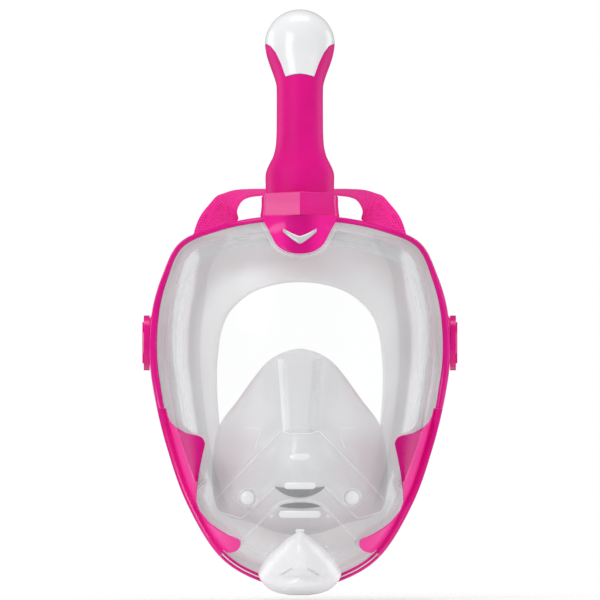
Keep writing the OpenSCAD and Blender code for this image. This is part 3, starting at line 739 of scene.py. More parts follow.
def chin_rail():
    first = RAIL_SPLIT + SEAM
    points, faces = bar([rail_section(mix(first, 2 - first, i / 100)) for i in range(101)])
    piece("double_chin_rail", points, faces, PINK_GLOSS, "mask", "pink_gloss", ["chin_rail"], sharp=42)
    strip = [near_rim(mix(first, 2 - first, i / 100), 2.35, -1.75) for i in range(101)]
    cord("rail_strip", strip, 0.5, WHITE, "mask", "silicone", closed=False)


# ------------------------------------------------------------------ tongue and chevron

TONGUE = [
    [83, 24.6], [79, 23.4], [74, 20.6], [69, 18], [64.5, 15.6], [61.5, 12.4], [59.2, 8], [58.2, 3.4],
    [58, 0.4],
]


def tongue_y(x, z):
    return min(base_y(x, z) - 0.35, -50.4)


def tongue_front(x, z):
    """The tongue's front face: a flat middle between two facets that fall away to the sides."""
    side = max(abs(x) - 9, 0)
    a, b = base_y(x, z) - 0.35, -50.4
    f = min(max(0.5 + (b - a) / 6, 0), 1)
    eased = mix(b, a, f).item() - 3 * f * (1 - f)
    return eased - 3.4 + 0.2 * min(side, 10) - 0.5 * (1 - smooth(abs(x) / 9))


def tongue():
    def at(i, k):
        z, half = path_at(TONGUE, i / 60)
        x = mix(-half, half, k / 48)
        return [x, tongue_front(x, z) + 0.7 * (abs(x) / half) ** 8, z], [x, tongue_y(x, z), z]

    points, faces = slab(60, 48, at)
    obj = piece(
        "front_tongue_cover", points, faces, PINK_TONGUE_PAINTED_LIGHT_AND_SHADE, "mask", "pink_gloss", ["front_tongue"], 40,
    )
    soften(obj, 0.4, 3)


def between(front, back):
    """A closed solid between two grids of the same size."""
    f, b = np.asarray(front, float), np.asarray(back, float)
    rows, cols = f.shape[:2]
    n = rows * cols
    faces = []
    for i in range(rows - 1):
        for k in range(cols - 1):
            a = i * cols + k
            faces.append((a, a + 1, a + cols + 1, a + cols))
            faces.append((a + n, a + n + cols, a + n + cols + 1, a + n + 1))
    edge = [k for k in range(cols)] + [i * cols + cols - 1 for i in range(1, rows)]
    edge += [(rows - 1) * cols + k for k in range(cols - 2, -1, -1)]
    edge += [i * cols for i in range(rows - 2, 0, -1)]
    for a, c in zip(edge, edge[1:] + edge[:1]):
        faces.append((a, c, c + n, a + n))
    return np.concatenate([f.reshape(-1, 3), b.reshape(-1, 3)]), faces


def slab(rows, cols, at):
    """A closed solid: at(i, k) gives the front and the back point of row i and column k."""
    pairs = [[at(i, k) for k in range(cols + 1)] for i in range(rows + 1)]
    return between([[p[0] for p in row] for row in pairs], [[p[1] for p in row] for row in pairs])


def tongue_lip():
    """The clear raised lip of the window that follows the tongue."""
    rows = 90
    front, back = [], []
    for i in range(rows + 1):
        t = 2 * i / rows - 1
        z, half = path_at(TONGUE, 1 - abs(t))
        z_next, half_next = path_at(TONGUE, min(1 - abs(t) + 0.02, 1))
        out = unit([z - z_next + 1e-3, half_next - half - 1e-3]) if abs(t) > 0.02 else np.array([0, -1.0])
        side = math.copysign(1, t) if abs(t) > 0.02 else 0
        row_f, row_b = [], []
        for j, lift in ((0.5, 0.9), (0.9, 1.5), (1.9, 1.5), (2.5, 0.9), (2.9, 0.1)):
            x = side * (half + j * abs(out[0]))
            zz = min(z - j * abs(out[1]), 81.5)
            row_f.append([x, base_y(x, zz) - lift, zz])
            row_b.append([x, base_y(x, zz) - 0.02, zz])
        front.append(row_f)
        back.append(row_b)
    points, faces = between(front, back)
    piece("tongue_lip", points, faces, THIN_SILICONE_AND_HIGHLIGHT, "mask", "clear_window", sharp=60)


def chevron():
    def at(k, j):
        q, f = mix(-1, 1, k / 40), 2 * j / 8 - 1
        x, z = 10.9 * q, mix(64.4 + 7.8 * abs(q) ** 1.25, 69.5 + 5 * abs(q) ** 1.3, j / 8)
        y = tongue_front(x, z)
        return [x, y - 0.25 - 0.75 * (1 - f * f) * (1 - q ** 6), z], [x, y + 0.3, z]

    points, faces = slab(40, 8, at)
    obj = piece("chevron_lens", points, faces, LENS, "mask", "clear_window", ["chevron_inlay"], sharp=60)
    soften(obj, 0.15)


def muzzle_bars():
    sizes = ((6.6, -71.5, -75.8), (10.2, -89.9, -94.4), (13.6, -108.4, -113.1))
    for number, (half, top, low) in enumerate(sizes):
        def at(k, j):
            q, f = mix(-1, 1, k / 36), 2 * j / 8 - 1
            end = (1 - abs(q) ** (2.4 * half / 2.3)) ** 0.5
            x, z = half * q, (top + low) / 2 + f * (0.12 + 0.88 * end) * (low - top) / 2
            y = base_y(x, z)
            return [x, y - 1.2 - 0.7 * (1 - f ** 4) * end, z], [x, y - 0.1, z]

        name = f"muzzle_bar_{number}"
        obj = piece(name, *slab(36, 8, at), WHITE, "mask", "white_plastic", ["muzzle_bars"], sharp=60)
        soften(obj, 0.2)


# ------------------------------------------------------------------ soft parts behind the window

OPENING = [
    [0, -24, 41.1], [17, -23, 39.3], [33.1, -18, 33.3], [46, -9, 22], [52, -4, 9], [54.6, -1, -8],
    [55.3, 0, -24], [54.6, -2, -42], [52.5, -5, -62], [49, -10, -84], [38, -20, -106], [19, -29, -118],
    [0, -32, -121],
]
FOLD = [
    [0, -6, 70], [24, -4, 69], [47, 4, 63.5], [67, 17, 53], [77, 27, 35], [82, 31, 14], [83, 31, -10],
    [81, 28, -34], [75, 21, -62], [65, 9, -93], [47, -6, -122], [22, -17, -137], [0, -20, -141],
]


def skirt_row(u):
    """(points, half thicknesses) from the bead in the rim, over side wall and fold, to the rolled lip."""
    fold, edge, start = loop_at(FOLD, u), loop_at(OPENING, u), near_rim(u, lip(u) + 2.6, 11.5)
    row = [near_rim(u, 2.1, 6.3), near_rim(u, lip(u) - 0.6, 6.3), near_rim(u, lip(u) + 1.3, 7)]
    thick = [1.7, 1.7, 0.9]
    steps = 26
    for i in range(steps):
        f = i / steps * 0.97
        rib = 0.55 * math.sin(f * 30) * smooth(f * 6) * smooth((0.97 - f) * 8)
        row.append(mix(start, fold, f) - (2.5 * math.sin(math.pi * f) + rib) * ray(u))
        thick.append(0.9)
    for i in range(steps + 1):
        f = mix(0.03, 1, i / steps)
        row.append(mix(fold, edge, f) + np.array([0, 3 * math.sin(math.pi * f), 0]))
        thick.append(0.9 if f < 0.9 else 0.9 - 0.25 * smooth((f - 0.9) / 0.1))
    roll = unit(edge - fold)
    for f in (0.35, 0.75, 1.1):
        row.append(edge + np.array([0, 2.2 * f * f, 0]) + roll * 1.3 * math.sin(f))
        thick.append(0.6)
    return row, thick


def skirt():
    stations = 200
    rows = [skirt_row(2 * i / stations) for i in range(stations)]
    thick = np.array([r[1] for r in rows])
    points, faces = sheet([r[0] for r in rows], thick, -thick, ring=True)
    obj = piece("face_skirt", points, faces, SKIRT, sharp=70)
    box = [[x, y, z] for x in (-13, 13) for y in (-31, -14) for z in (60, 90)]
    carve(obj, [tool(box, BOX)])
    finish(obj, 70)
    place(obj, "mask", "silicone", ["skirt"])


CUP_CENTRE = -70
CUP = [
    [0, -28, -3.8], [8.5, -27, -5.2], [16.2, -25, -8.7], [22.6, -22, -13.7], [30, -17, -22.6],
    [40.2, -10, -36.9], [52.5, -6, -54], [56.5, -6, -73], [57, -8, -92], [54, -13, -107],
    [45, -20, -113.5], [32, -26, -116.5], [16, -33, -122.5], [0, -35.5, -125],
]
RIDGE = [-26, -44, -56, -65, -71, -74, -70, -58]


def cup_at(u, share):
    p = loop_at(CUP, u)
    x, z = p[0] * share, CUP_CENTRE + (p[2] - CUP_CENTRE) * share
    ridge = path_at([[v] for v in RIDGE], (-4 - z) / (17 * (len(RIDGE) - 1)))[0]
    swell = (1 - share * share) ** 0.62 / (1 + (x / 46) ** 2)
    return np.array([x, p[1] + (ridge - p[1]) * swell, z])


def cup_relief(x, z):
    """The raised nose strip with sloping flanks, the folds below it and the edges of the two lobes."""
    x = abs(x)
    down = smooth((-9 - z) / 48)
    crest, flank = 7.9 - 2.3 * down, 7.4 - 1.6 * down
    slope = min(max((crest + flank - x) / flank, 0), 1)
    strip = 2.6 * slope ** 1.4 * smooth((z + 58.4) / 1.4) * smooth((-4 - z) / 9)
    fold = 0.8 * bump(line_gap(x, z, 12.5, -56, 55, -102.6), 1.5)
    lobe = 0.9 * bump(min(line_gap(x, z, 37, -113.8, 16.2, -93), line_gap(x, z, 37, -113.8, 56, -110)), 1.6)
    pad = 0.8 * smooth((x - 10) / 6) * smooth((line_gap(x, z, 13, -57, 54, -102) - 3) / 6)
    return strip + fold + lobe + pad


def cup_y(x, z):
    """Depth of the cup's outer face at (x, z)."""
    steps = 200
    rim_points = [loop_at(CUP, i / steps) for i in range(steps + 1)]
    turns = [math.atan2(p[0], p[2] - CUP_CENTRE) for p in rim_points]
    u = float(np.interp(math.atan2(abs(x), z - CUP_CENTRE), turns, [i / steps for i in range(steps + 1)]))
    p = loop_at(CUP, u)
    share = math.hypot(x, z - CUP_CENTRE) / math.hypot(p[0], p[2] - CUP_CENTRE)
    return cup_at(u, min(share, 1))[1] - cup_relief(x, z)


def on_cup(path, lift):
    """Points every few millimetres along a path of (x, z) corners, just in front of the cup."""
    out = []
    for (ax, az), (bx, bz) in zip(path, path[1:]):
        count = max(int(math.hypot(bx - ax, bz - az) / 1.5), 2)
        for i in range(count):
            x, z = mix(ax, bx, i / count).item(), mix(az, bz, i / count).item()
            out.append([x, cup_y(x, z) - lift, z])
    out.append([path[-1][0], cup_y(*path[-1]) - lift, path[-1][1]])
    return out


def cup_lines():
    """Thin cords on the cup's folds, mirrored left and right; their light colour is a painted highlight."""
    paths = (
        (((12.6, -57), (36, -81.5), (54, -101)), 0.42),
        (((16.4, -93.2), (36.5, -113), (38.5, -113.8), (54, -109.6)), 0.5),
        (((6.2, -58.6), (11.8, -57.4)), 0.45),
        (((29, -68), (25, -55.5), (35, -55)), 0.3),
        (((44, -100), (30, -112)), 0.3),
    )
    for number, (path, radius) in enumerate(paths):
        for side in (1, -1):
            line = on_cup([(side * x, z) for x, z in path], 0.1)
            name = f"cup_line_{number}_{'right' if side > 0 else 'left'}"
            cord(name, line, radius, BRIGHT_SILICONE_AND_HIGHLIGHT, "mask", "silicone", closed=False, count=8)
    brow = on_cup([(-6.2, -58.6), (6.2, -58.6)], 0.1)
    cord("cup_brow", brow, 0.45, BRIGHT_SILICONE_AND_HIGHLIGHT, "mask", "silicone", closed=False, count=8)


def crescent(name, half, top, low, mat):
    """A thin crescent on the cup: top and low give z for q from -1 to 1 across it."""
    def at(k, j):
        q = mix(-1, 1, k / 32).item()
        x, z = half * q, mix(top(q), low(q), j / 6).item()
        y = cup_y(x, z) - 0.5
        return [x, y - 0.4, z], [x, y, z]

    piece(name, *slab(32, 6, at), mat, "mask", "silicone", sharp=60)


def stripe(name, top, low, mat):
    """A tapered patch beside the nose strip: top and low are its two edges in x at either end."""
    def at(i, j):
        z, edges = mix(-10.5, -57, i / 40).item(), mix(top, low, i / 40)
        x = mix(edges[0], edges[1], j / 6).item()
        y = cup_y(x, z)
        return [x, y - 0.5, z], [x, y - 0.2, z]

    piece(name, *slab(40, 6, at), mat, "mask", "silicone", sharp=60)


def nose_stripes():
    """Bright bands that stand for highlights on both flanks of the nose strip; not real parts."""
    stripe("nose_painted_highlight_left", (-14.6, -8), (-10.8, -5.7), BRIGHT_SILICONE_AND_HIGHLIGHT)
    stripe("nose_painted_highlight_right", (8, 14), (5.8, 10.4), THIN_SILICONE_AND_HIGHLIGHT)


def cup_shadows():
    """Grey crescents that stand for dark places under the bowl and behind the arch; not real parts."""
    bowl_top, bowl_low = lambda q: -92.9 - 1.2 * (1 - q * q), lambda q: -93.2 - 6.9 * (1 - q * q) ** 0.8
    arch_top, arch_low = lambda q: -105.4 + 2.2 * (1 - q * q), lambda q: -105.8 - 1.4 * (1 - q * q)
    crescent("bowl_painted_shade", 16.2, bowl_top, bowl_low, SHADE)
    crescent("arch_painted_shade", 14.6, arch_top, arch_low, SHADE)


def muzzle_lines():
    """The arch moulded over the chin cap and the line on to each bracket; their light colour is a painted
    highlight.
    """
    arch = [
        (-18.7, -109.2), (-12.9, -104), (-7.1, -102.2), (0, -101.7), (7.1, -102.2), (12.9, -104),
        (18.7, -109.2),
    ]
    smooth_arch = [path_at(arch, i / 60) for i in range(61)]
    arch_line = [[x, base_y(x, z) - 0.2, z] for x, z in smooth_arch]
    cord("muzzle_arch", arch_line, 1.1, THIN_SILICONE_AND_HIGHLIGHT, "mask", "clear_window", False)
    for side in (1, -1):
        line = [(side * mix(18.7, 36.3, i / 20), mix(-109.2, -127, i / 20)) for i in range(21)]
        name = f"muzzle_line_{'right' if side > 0 else 'left'}"
        cord(name, [[x, base_y(x, z) - 0.2, z] for x, z in line], 0.32, THIN_SILICONE_AND_HIGHLIGHT, "mask", "clear_window", False)


def valve_domes():
    """Soft round covers over the two inhale valves."""
    dome = [(0, -1.7), (1.8, -1.6), (3.4, -1.1), (4.4, -0.4), (4.6, 0.1), (0, 0.1)]
    for side, x in (("right", VALVE[0]), ("left", -VALVE[0])):
        points, faces = turned(dome, [x, VALVE[1] - 4.4, VALVE[2]], X, Z, np.array([0, 1.0, 0]), 40)
        piece(f"inhale_dome_{side}", points, faces, BRIGHT_SILICONE_AND_HIGHLIGHT, "mask", "silicone", sharp=50)


VALVE = (34, -40, -100.5)


def nose_cup():
    stations = 240
    shares = [1, 0.985, 0.96] + [0.94 * (1 - i / 60) for i in range(61)]
    grid = [[cup_at(2 * i / stations, s) for s in shares] for i in range(stations)]
    front = [[-cup_relief(p[0], p[2]) * smooth((1 - s) * 18) for p, s in zip(row, shares)] for row in grid]
    points, faces = sheet(grid, front, 1.4, ring=True, pole=True)
    obj = piece("nose_and_mouth_cup", points, faces, CUP_SKIN, sharp=60)
    drill = [(0, 0), (6.2, 0), (6.2, 50), (0, 50)]
    starts = [[side * VALVE[0], VALVE[1] - 25, VALVE[2]] for side in (-1, 1)]
    holes = [tool(*turned(drill, start, X, Z, [0, 1, 0])) for start in starts]
    carve(obj, holes)
    finish(obj, 60)
    place(obj, "mask", "silicone", ["nose_cup"])


DUCT_INSET = [[0, 13], [0.2, 14], [0.45, 16.5], [0.6, 15], [0.7, 12.5], [0.76, 12]]
DUCT_DEPTH = [[0, 7.5], [0.15, 6.5], [0.3, 3], [0.45, 1], [0.6, 1.6], [0.7, 4.4], [1, 5.2]]


def air_ducts():
    """The side channels: thin ribbed tubes between window and skirt."""
    rows, stops = 40, 130
    grid = []
    for i in range(rows):
        q = 2 * math.pi * i / rows
        rib = 0.28 * math.cos(5 * q)
        line = []
        for k in range(stops + 1):
            u = mix(0.05, 0.745, k / stops)
            middle = near_rim(u, lookup(u, DUCT_INSET), lookup(u, DUCT_DEPTH))
            line.append(
                
                middle + (4.4 + rib) * math.cos(q) * ray(u) + np.array([0, (3.8 + rib) * math.sin(q), 0]),
            )
        grid.append(line)
    points, faces = sheet(grid, 0.35, -0.35, ring=True)
    for side, pts in both_sides(points, faces):
        piece(f"side_air_duct_{side}", pts, faces, THIN_SILICONE_AND_HIGHLIGHT, "mask", "silicone", [f"air_duct_{side}"], sharp=60)


# ------------------------------------------------------------------ chin drain valve

CAP = [
    [0, -122], [6, -125.3], [12.1, -130.3], [20.3, -137.8], [25.4, -145], [26.6, -151], [20.5, -157.6],
    [10, -160.6], [0, -161],
]
CAP_MIDDLE = np.array([0, -70, -143])
CAP_OUT = unit([0, -0.79, -0.45])


def cap_relief(x, z):
    """Two slanting slits, the pinched fold under them and the soft lower lip."""
    x = abs(x)
    slit = -1.3 * bump(line_gap(x, z, 5.4, -146.1, 12, -150), 0.9)
    pinch = 0.5 * bump(line_gap(x, z, 3, -145, 13, -148.6), 3)
    lower = 1.5 * bump(z + 157.5 - 0.008 * x * x, 5.5) * smooth((21 - x) / 8)
    hollow = -0.8 * bump(z + 152.4 + 0.012 * x * x, 3) * smooth((18 - x) / 8)
    return slit + pinch + lower + hollow


def chin_cap():
    count = 200
    rim_3d = [[x, min(base_y(x, z) - 0.9, -59.4), z] for x, z in CAP]
    shares = [1, 0.985] + [0.97 * (1 - i / 70) for i in range(71)]
    grid, front = [], []
    for i in range(count):
        edge = loop_at(rim_3d, 2 * i / count)
        row = [mix(CAP_MIDDLE, edge, s) + 19 * (1 - s ** 2.6) ** 0.6 * CAP_OUT for s in shares]
        grid.append(row)
        front.append([-cap_relief(p[0], p[2]) * smooth((1 - s) * 14) for p, s in zip(row, shares)])
    points, faces = sheet(grid, front, 1.6, ring=True, pole=True)
    piece("chin_valve_cover", points, faces, WHITE, "mask", "white_plastic", ["chin_cap"], sharp=65)
    tab()


def tab():
    """The small pull tab on top of the chin cap, and the two pairs of snap hooks beside it."""
    spots = [(0, -121.6, 3.0, 1.3)]
    for side in (-1, 1):
        spots += [
            (side * 17, -132, 1.1, 0.9), (side * 20.5, -136, 1.1, 0.9), (side * 18.4, -111.9, 1.1, 1.1),
        ]
    for number, (cx, cz, half, tall) in enumerate(spots):
        def at(k, j):
            q, f = mix(-1, 1, k / 12), mix(-1, 1, j / 6)
            x, z = cx + q * half * (1 - 0.15 * f * f), cz + f * tall * (1 - 0.15 * q * q)
            y = base_y(x, z)
            return [x, y - 0.5 - 0.9 * (1 - q ** 4) * (1 - f ** 4), z], [x, y - 0.05, z]

        kind = "chin_cap_tab" if number == 0 else f"chin_cap_hook_{number}"
        piece(kind, *slab(12, 6, at), WHITE if number == 0 else THIN_SILICONE_AND_HIGHLIGHT, "mask", "white_plastic", sharp=60)


# ------------------------------------------------------------------ tube, socket and dry top

SOCKET = np.array([0, -24.0, 95])
LEAN_LOW, LEAN_HIGH, TUBE = math.radians(8), math.radians(24), 104.0
TURN_R = TUBE / (LEAN_HIGH - LEAN_LOW)


def lean(s):
    return mix(LEAN_LOW, LEAN_HIGH, min(max(s / TUBE, 0), 1)).item()


def axis_at(s):
    if s <= 0:
        return SOCKET + s * np.array([0, math.sin(LEAN_LOW), math.cos(LEAN_LOW)])
    q = lean(s)
    return SOCKET + TURN_R * np.array([0, math.cos(LEAN_LOW) - math.cos(q), math.sin(q) - math.sin(LEAN_LOW)])


def tube_point(s, x, y, z=0.0):
    q = lean(s)
    return axis_at(s) + np.array([x, y * math.cos(q) + z * math.sin(q), z * math.cos(q) - y * math.sin(q)])


TUBE_ROWS = [
    [-10.6, 18.8, 17.9], [-4, 18.8, 17.9], [0.25, 18.8, 17.9], [0.4, 22.2, 21], [7, 22.3, 21.2],
    [13, 22.4, 21], [16, 22, 20.6], [20, 20.4, 19.6], [26, 17.5, 18], [33, 15.8, 17.2], [42, 15.2, 17],
    [52, 15.1, 17], [62, 15.05, 17], [71, 15.1, 17], [76, 15.4, 17.4], [82, 16.9, 18.4],
    [88, 18.9, 19.8], [94, 20.9, 21.2], [99, 22.1, 22.2], [104, 22.7, 22.7],
]
BORDER = [
    [0, 76.5], [30, 75.8], [35, 75.6], [38, 79], [41.7, 84.5], [49.3, 92], [60, 97.5], [75, 101.5],
    [90, 103.9], [180, 103.9],
]


def half_widths(s):
    """Half-widths across and front to back, smooth through the table above the socket."""
    rows = TUBE_ROWS
    if s <= 13:
        return lookup(s, [(r[0], r[1]) for r in rows]), lookup(s, [(r[0], r[2]) for r in rows])
    upper = rows[5:]
    for i in range(len(upper) - 1):
        if s <= upper[i + 1][0]:
            break
    f = (s - upper[i][0]) / (upper[i + 1][0] - upper[i][0])
    ends = [upper[max(i - 1, 0)], upper[i], upper[i + 1], upper[min(i + 2, len(upper) - 1)]]
    p = along(ends, f)
    return p[1], p[2]


def tube_skin(angle, s, inset=0.0):
    """Outer skin: angle in degrees from the front. The front has a soft ridge down its middle."""
    a, b = half_widths(s)
    power = 2.3 if s < 88 else mix(2.3, 2, min((s - 88) / 12, 1)).item()
    x, y = oval(math.radians(angle - 90), a - inset, b - inset, power)
    ridge = 0
    if y < 0:
        ridge = 0.5 * smooth(1 - abs(x) / 9) * smooth((s - 0.3) / 4) * (1 - smooth((s - 80) / 15))
    return tube_point(s, x, y - ridge)


def border(angle):
    return lookup(min(angle, 360 - angle), BORDER)


def tube():
    count = 180
    lows = [-10.6, -7, -4, 0.25, 0.4, 1.5, 4]
    grid = []
    for i in range(count):
        angle = 360 * i / count
        top = border(angle) - 0.12
        stops = lows + [mix(4, top - 0.5, k / 70).item() for k in range(1, 71)] + [top]
        grid.append([tube_skin(angle, s, 0.18 if s == top else 0) for s in stops])
    points, faces = sheet(grid, 0, -1.8, ring=True)
    piece("breathing_tube", points, faces, PINK_MATTE, "tube", "pink_matte", ["tube"], sharp=38)


CAP_R = 22.7


def cap_point(angle, polar, r):
    """A point of the dome: angle from the front, polar from the tube's end plane up to the crown."""
    a = math.radians(angle - 90)
    return tube_point(
        TUBE, r * math.cos(polar) * math.cos(a), r * math.cos(polar) * math.sin(a), r * math.sin(polar),
    )


def tube_cap():
    """The white dome, running down the front of the tube in a tapered tongue."""
    count = 180
    grid = []
    for i in range(count):
        angle = 360 * i / count
        low = border(angle) + 0.12
        if low < TUBE - 1:
            stops = [low] + [mix(low + 0.5, TUBE, k / 40).item() for k in range(41)]
        else:
            stops = [mix(low, TUBE, k / 41).item() for k in range(42)]
        row = [tube_skin(angle, s, 0.18 if k == 0 else 0) for k, s in enumerate(stops)]
        row += [cap_point(angle, math.pi / 2 * k / 44, CAP_R) for k in range(1, 45)]
        grid.append(row)
    points, faces = sheet(grid, 0, -1.8, ring=True, pole=True)
    obj = piece("dry_top_cap", points, faces, WHITE, sharp=50)
    slots = []
    for q in range(50, 131, 20):
        c, s = math.cos(math.radians(q)), math.sin(math.radians(q))
        corners = []
        for r in (12, 27):
            for side in (-1.7, 1.7):
                for z in (6, 13):
                    corners.append(tube_point(TUBE, r * c - side * s, r * s + side * c, z))
        slots.append(tool(corners, BOX))
    carve(obj, slots)
    finish(obj, 50)
    place(obj, "tube", "white_plastic", ["tube_cap"])


def socket_outline(q):
    """The socket's outline: flat facets in front that meet in a crease, an oval behind."""
    x, y = oval(q, 24.9, 23.5)
    if y < 0 and abs(x) < 22.5:
        y = min(y, 0.3 * abs(x) - 25.2)
    return x, y


def at_socket(x, y, z):
    c, s = math.cos(LEAN_LOW), math.sin(LEAN_LOW)
    return SOCKET + np.array([x, y * c + z * s, z * c - y * s])


def socket():
    count = 160
    sections = []
    for i in range(count):
        q = 2 * math.pi * i / count
        x, y = socket_outline(q)
        ix, iy = oval(q, 20.4, 19.5)
        wide = 1.03
        foot = -15.4 if y < -8 else -13.4
        line = [
            at_socket(ix, iy, -11.2), at_socket(ix, iy, -0.3),
            at_socket(ix + 0.02 * (x - ix), iy + 0.02 * (y - iy), 0),
            at_socket(x * 0.985, y * 0.985, 0), at_socket(x, y, -0.5), at_socket(x, y, -6),
            at_socket(x * (wide - 0.01), y, -10.8), at_socket(x * wide, y * 1.01, foot + 1.4),
            at_socket(x * wide, y * 1.01, foot),
            at_socket(ix * 0.8, iy * 0.8, -13.4),
        ]
        sections.append(line)
    n = len(sections[0])
    points = [p for line in sections for p in line]
    faces = []
    for i in range(count):
        j = (i + 1) % count
        faces += [(i * n + k, j * n + k, j * n + (k + 1) % n, i * n + (k + 1) % n) for k in range(n)]
    obj = piece("tube_socket_cover", points, faces, PINK_GLOSS, sharp=20)
    hole = turned(
        [(0, 12), (3.6, 12), (3.6, 30), (0, 30)], at_socket(0, 0, -7.4), X, at_socket(0, 0, 1) - SOCKET,
        at_socket(0, 1, 0) - SOCKET,
    )
    carve(obj, [tool(*hole)])
    finish(obj, 20)
    soften(obj, 0.4, 3, 30)
    place(obj, "mask", "pink_gloss", ["tube_socket"])
    profile = ((-8.1, -12.6), (-8.1, -16.2), (17.9, -12.6), (17.9, -18.4))
    foot = [at_socket(x, y, z) for x in (-15, 15) for y, z in profile]
    block = piece("tube_socket_foot", foot, BOX, PINK_GLOSS, sharp=30)
    ports = []
    for low, high in ((-13, -8.5), (-6.5, 6.5), (8.5, 13)):
        box = [at_socket(x, y, z) for x in (low, high) for y in (-5, 14) for z in (-30, 0)]
        ports.append(tool(box, BOX))
    carve(block, ports)
    finish(block, 30)
    soften(block, 0.4)
    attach(block, "mask")


# ------------------------------------------------------------------ harness and side clips


BAND_THICK = 1.4


def ribbon(name, knots, arrows, count, width, body, replaces, mirror):
    """A woven band with rounded selvedges. Its weave coordinates are millimetres across and along."""
    across = 16
    ring = []
    for k in range(across + 1):
        half = BAND_THICK / 2 * (1 - abs(2 * k / across - 1) ** 10) + 0.12
        ring.append((mix(-1, 1, k / across).item(), half))
    outline = ring + [(f, -h) for f, h in reversed(ring)]
    points, uv, run, last = [], [], 0.0, None
    for i in range(count + 1):
        t = i / count
        p = path_at(knots, t)
        ahead = unit(path_at(knots, min(t + 0.002, 1)) - path_at(knots, max(t - 0.002, 0)))
        side = unit(path_at(arrows, t))
        out = unit(np.cross(side, ahead))
        run += 0 if last is None else float(np.linalg.norm(p - last))
        last = p
        for f, h in outline:
            points.append(p + side * f * width / 2 + out * h)
            uv.append((f * width / 2, run))
    faces = hull_faces(count + 1, len(outline))
    pts = [mirrored(p) for p in points] if mirror else points
    return piece(name, pts, faces, STRAP, body, "pink_webbing", replaces, sharp=60, uv=uv)


UPPER = [
    [59, -7, 72], [55, -2, 79.5], [48.8, 5, 86.3], [45.4, 10, 91.6], [40.1, 16, 95.8], [33.6, 20, 97.6],
    [24.5, 24, 98.3], [12, 26, 98.8], [0.3, 27, 98.9],
]
UPPER_SIDE = [
    [10.5, 0, -1.5], [10, -1, 3], [8.5, 0.5, 6.5], [4.5, 7.4, 5.9], [1.9, 9.5, 4], [0.3, 10.1, 2.6],
    [-0.4, 10.3, 2], [0, 10.5, 1], [0, 10.5, 0.6],
]
CROWN = [
    [0, 16, 101.4], [0, 30, 102], [0, 48, 102.2], [0, 70, 101.5], [0, 92, 99.8], [0, 112, 97.2],
    [0, 129, 92.8], [0, 138.4, 84.5], [0, 141.2, 75], [0, 141.4, 65],
]
LOWER = [
    [99.9, 44, 0], [99.9, 50, 0], [99.9, 60, 0], [99.9, 71, 0], [99.9, 81, 0], [98.6, 91, 4.5], [94, 100, 10],
    [82.5, 114, 22], [66, 127, 39], [45, 137, 53], [27, 141.5, 61],
]
LOWER_SIDE = [
    [0, 0, 1], [0, 0, 1], [0, 0, 1], [0, 0, 1], [0, 0, 1], [0.06, -0.12, 1], [0.14, -0.22, 1],
    [0.24, -0.32, 1], [0.32, -0.3, 1], [0.34, -0.2, 1], [0.3, -0.1, 1],
]


def straps():
    for side, x in (("right", 0.0999), ("left", -0.0999)):
        flip = x < 0
        ribbon(f"crown_band_{side}", UPPER, UPPER_SIDE, 160, 21, "mask", [f"upper_strap_{side}"], flip)
        stands_for = [f"lower_strap_{side}", f"strap_loop_{side}"]
        low = ribbon(f"side_strap_{side}", LOWER, LOWER_SIDE, 170, 20.6, None, stands_for, flip)
        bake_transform(low)


def crown():
    ribbon("crown_band_back", CROWN, [[1, 0, 0], [1, 0, 0]], 160, 21, "mask", ["crown_strap"], False)


def pad_point(x, z, lift):
    return [x, 136.5 - x * x / 180 - ((z - 62) / 11) ** 2 + lift, z]


def rear_pad():
    """A foam pad in a knitted cover: blown up as cloth, then stitched with a seam round its edge."""
    rows, cols = 34, 50
    front, back = [], []
    for i in range(rows + 1):
        f = i / rows
        z = mix(45, 80.4, f).item()
        half = 46 * (0.62 + 0.38 * math.sin(math.pi * f ** 0.8))
        xs = [mix(-half, half, k / cols).item() for k in range(cols + 1)]
        front.append([pad_point(x, z, 1.6) for x in xs])
        back.append([pad_point(x, z, -1.6) for x in xs])
    points, faces = between(front, back)
    uv = [(p[0], p[2]) for p in points]
    obj = piece("rear_pad_cover", points, faces, PAD, uv=uv, sharp=80)
    puff(obj, points, 2.6)
    finish(obj, 80)
    place(obj, "mask", "pad_fabric", ["rear_pad"])
    edge = [pad_point(x, z, 0) for x, z in pad_edge()]
    cord("rear_pad_seam", edge, 0.75, PAD, "mask", "pad_fabric")


def pad_edge():
    """The pad's outline in x and z, once round."""
    right = []
    for i in range(41):
        f = i / 40
        right.append((46.2 * (0.62 + 0.38 * math.sin(math.pi * f ** 0.8)), mix(44.8, 80.6, f).item()))
    top = [(x, 80.7) for x in np.linspace(right[-1][0], -right[-1][0], 24)[1:-1]]
    low = [(x, 44.7) for x in np.linspace(-right[0][0], right[0][0], 24)[1:-1]]
    return right + top + [(-x, z) for x, z in reversed(right)] + low


def puff(obj, rest, reach):
    """Inflates the cloth mesh for a few frames; no point moves further than reach from its start."""
    scene = bpy.context.scene
    cloth = obj.modifiers.new("cloth", "CLOTH")
    cloth.settings.quality = 5
    cloth.settings.mass = 0.15
    cloth.settings.tension_stiffness = 12
    cloth.settings.compression_stiffness = 6
    cloth.settings.bending_stiffness = 0.6
    cloth.settings.use_pressure = True
    cloth.settings.uniform_pressure_force = 4
    cloth.settings.effector_weights.gravity = 0
    cloth.collision_settings.use_collision = False
    cloth.point_cache.frame_start, cloth.point_cache.frame_end = 1, 20
    for number in range(1, 21):
        scene.frame_set(number)
    baked(obj)
    scene.frame_set(1)
    start = np.asarray(rest, float) * MM
    now = np.array([v.co for v in obj.data.vertices], float)
    move = now - start
    length = np.linalg.norm(move, axis=1, keepdims=True)
    now = start + move * np.minimum(1, reach * MM / np.maximum(length, 1e-9))
    obj.data.vertices.foreach_set("co", now.astype(np.float32).ravel())
    obj.data.update()


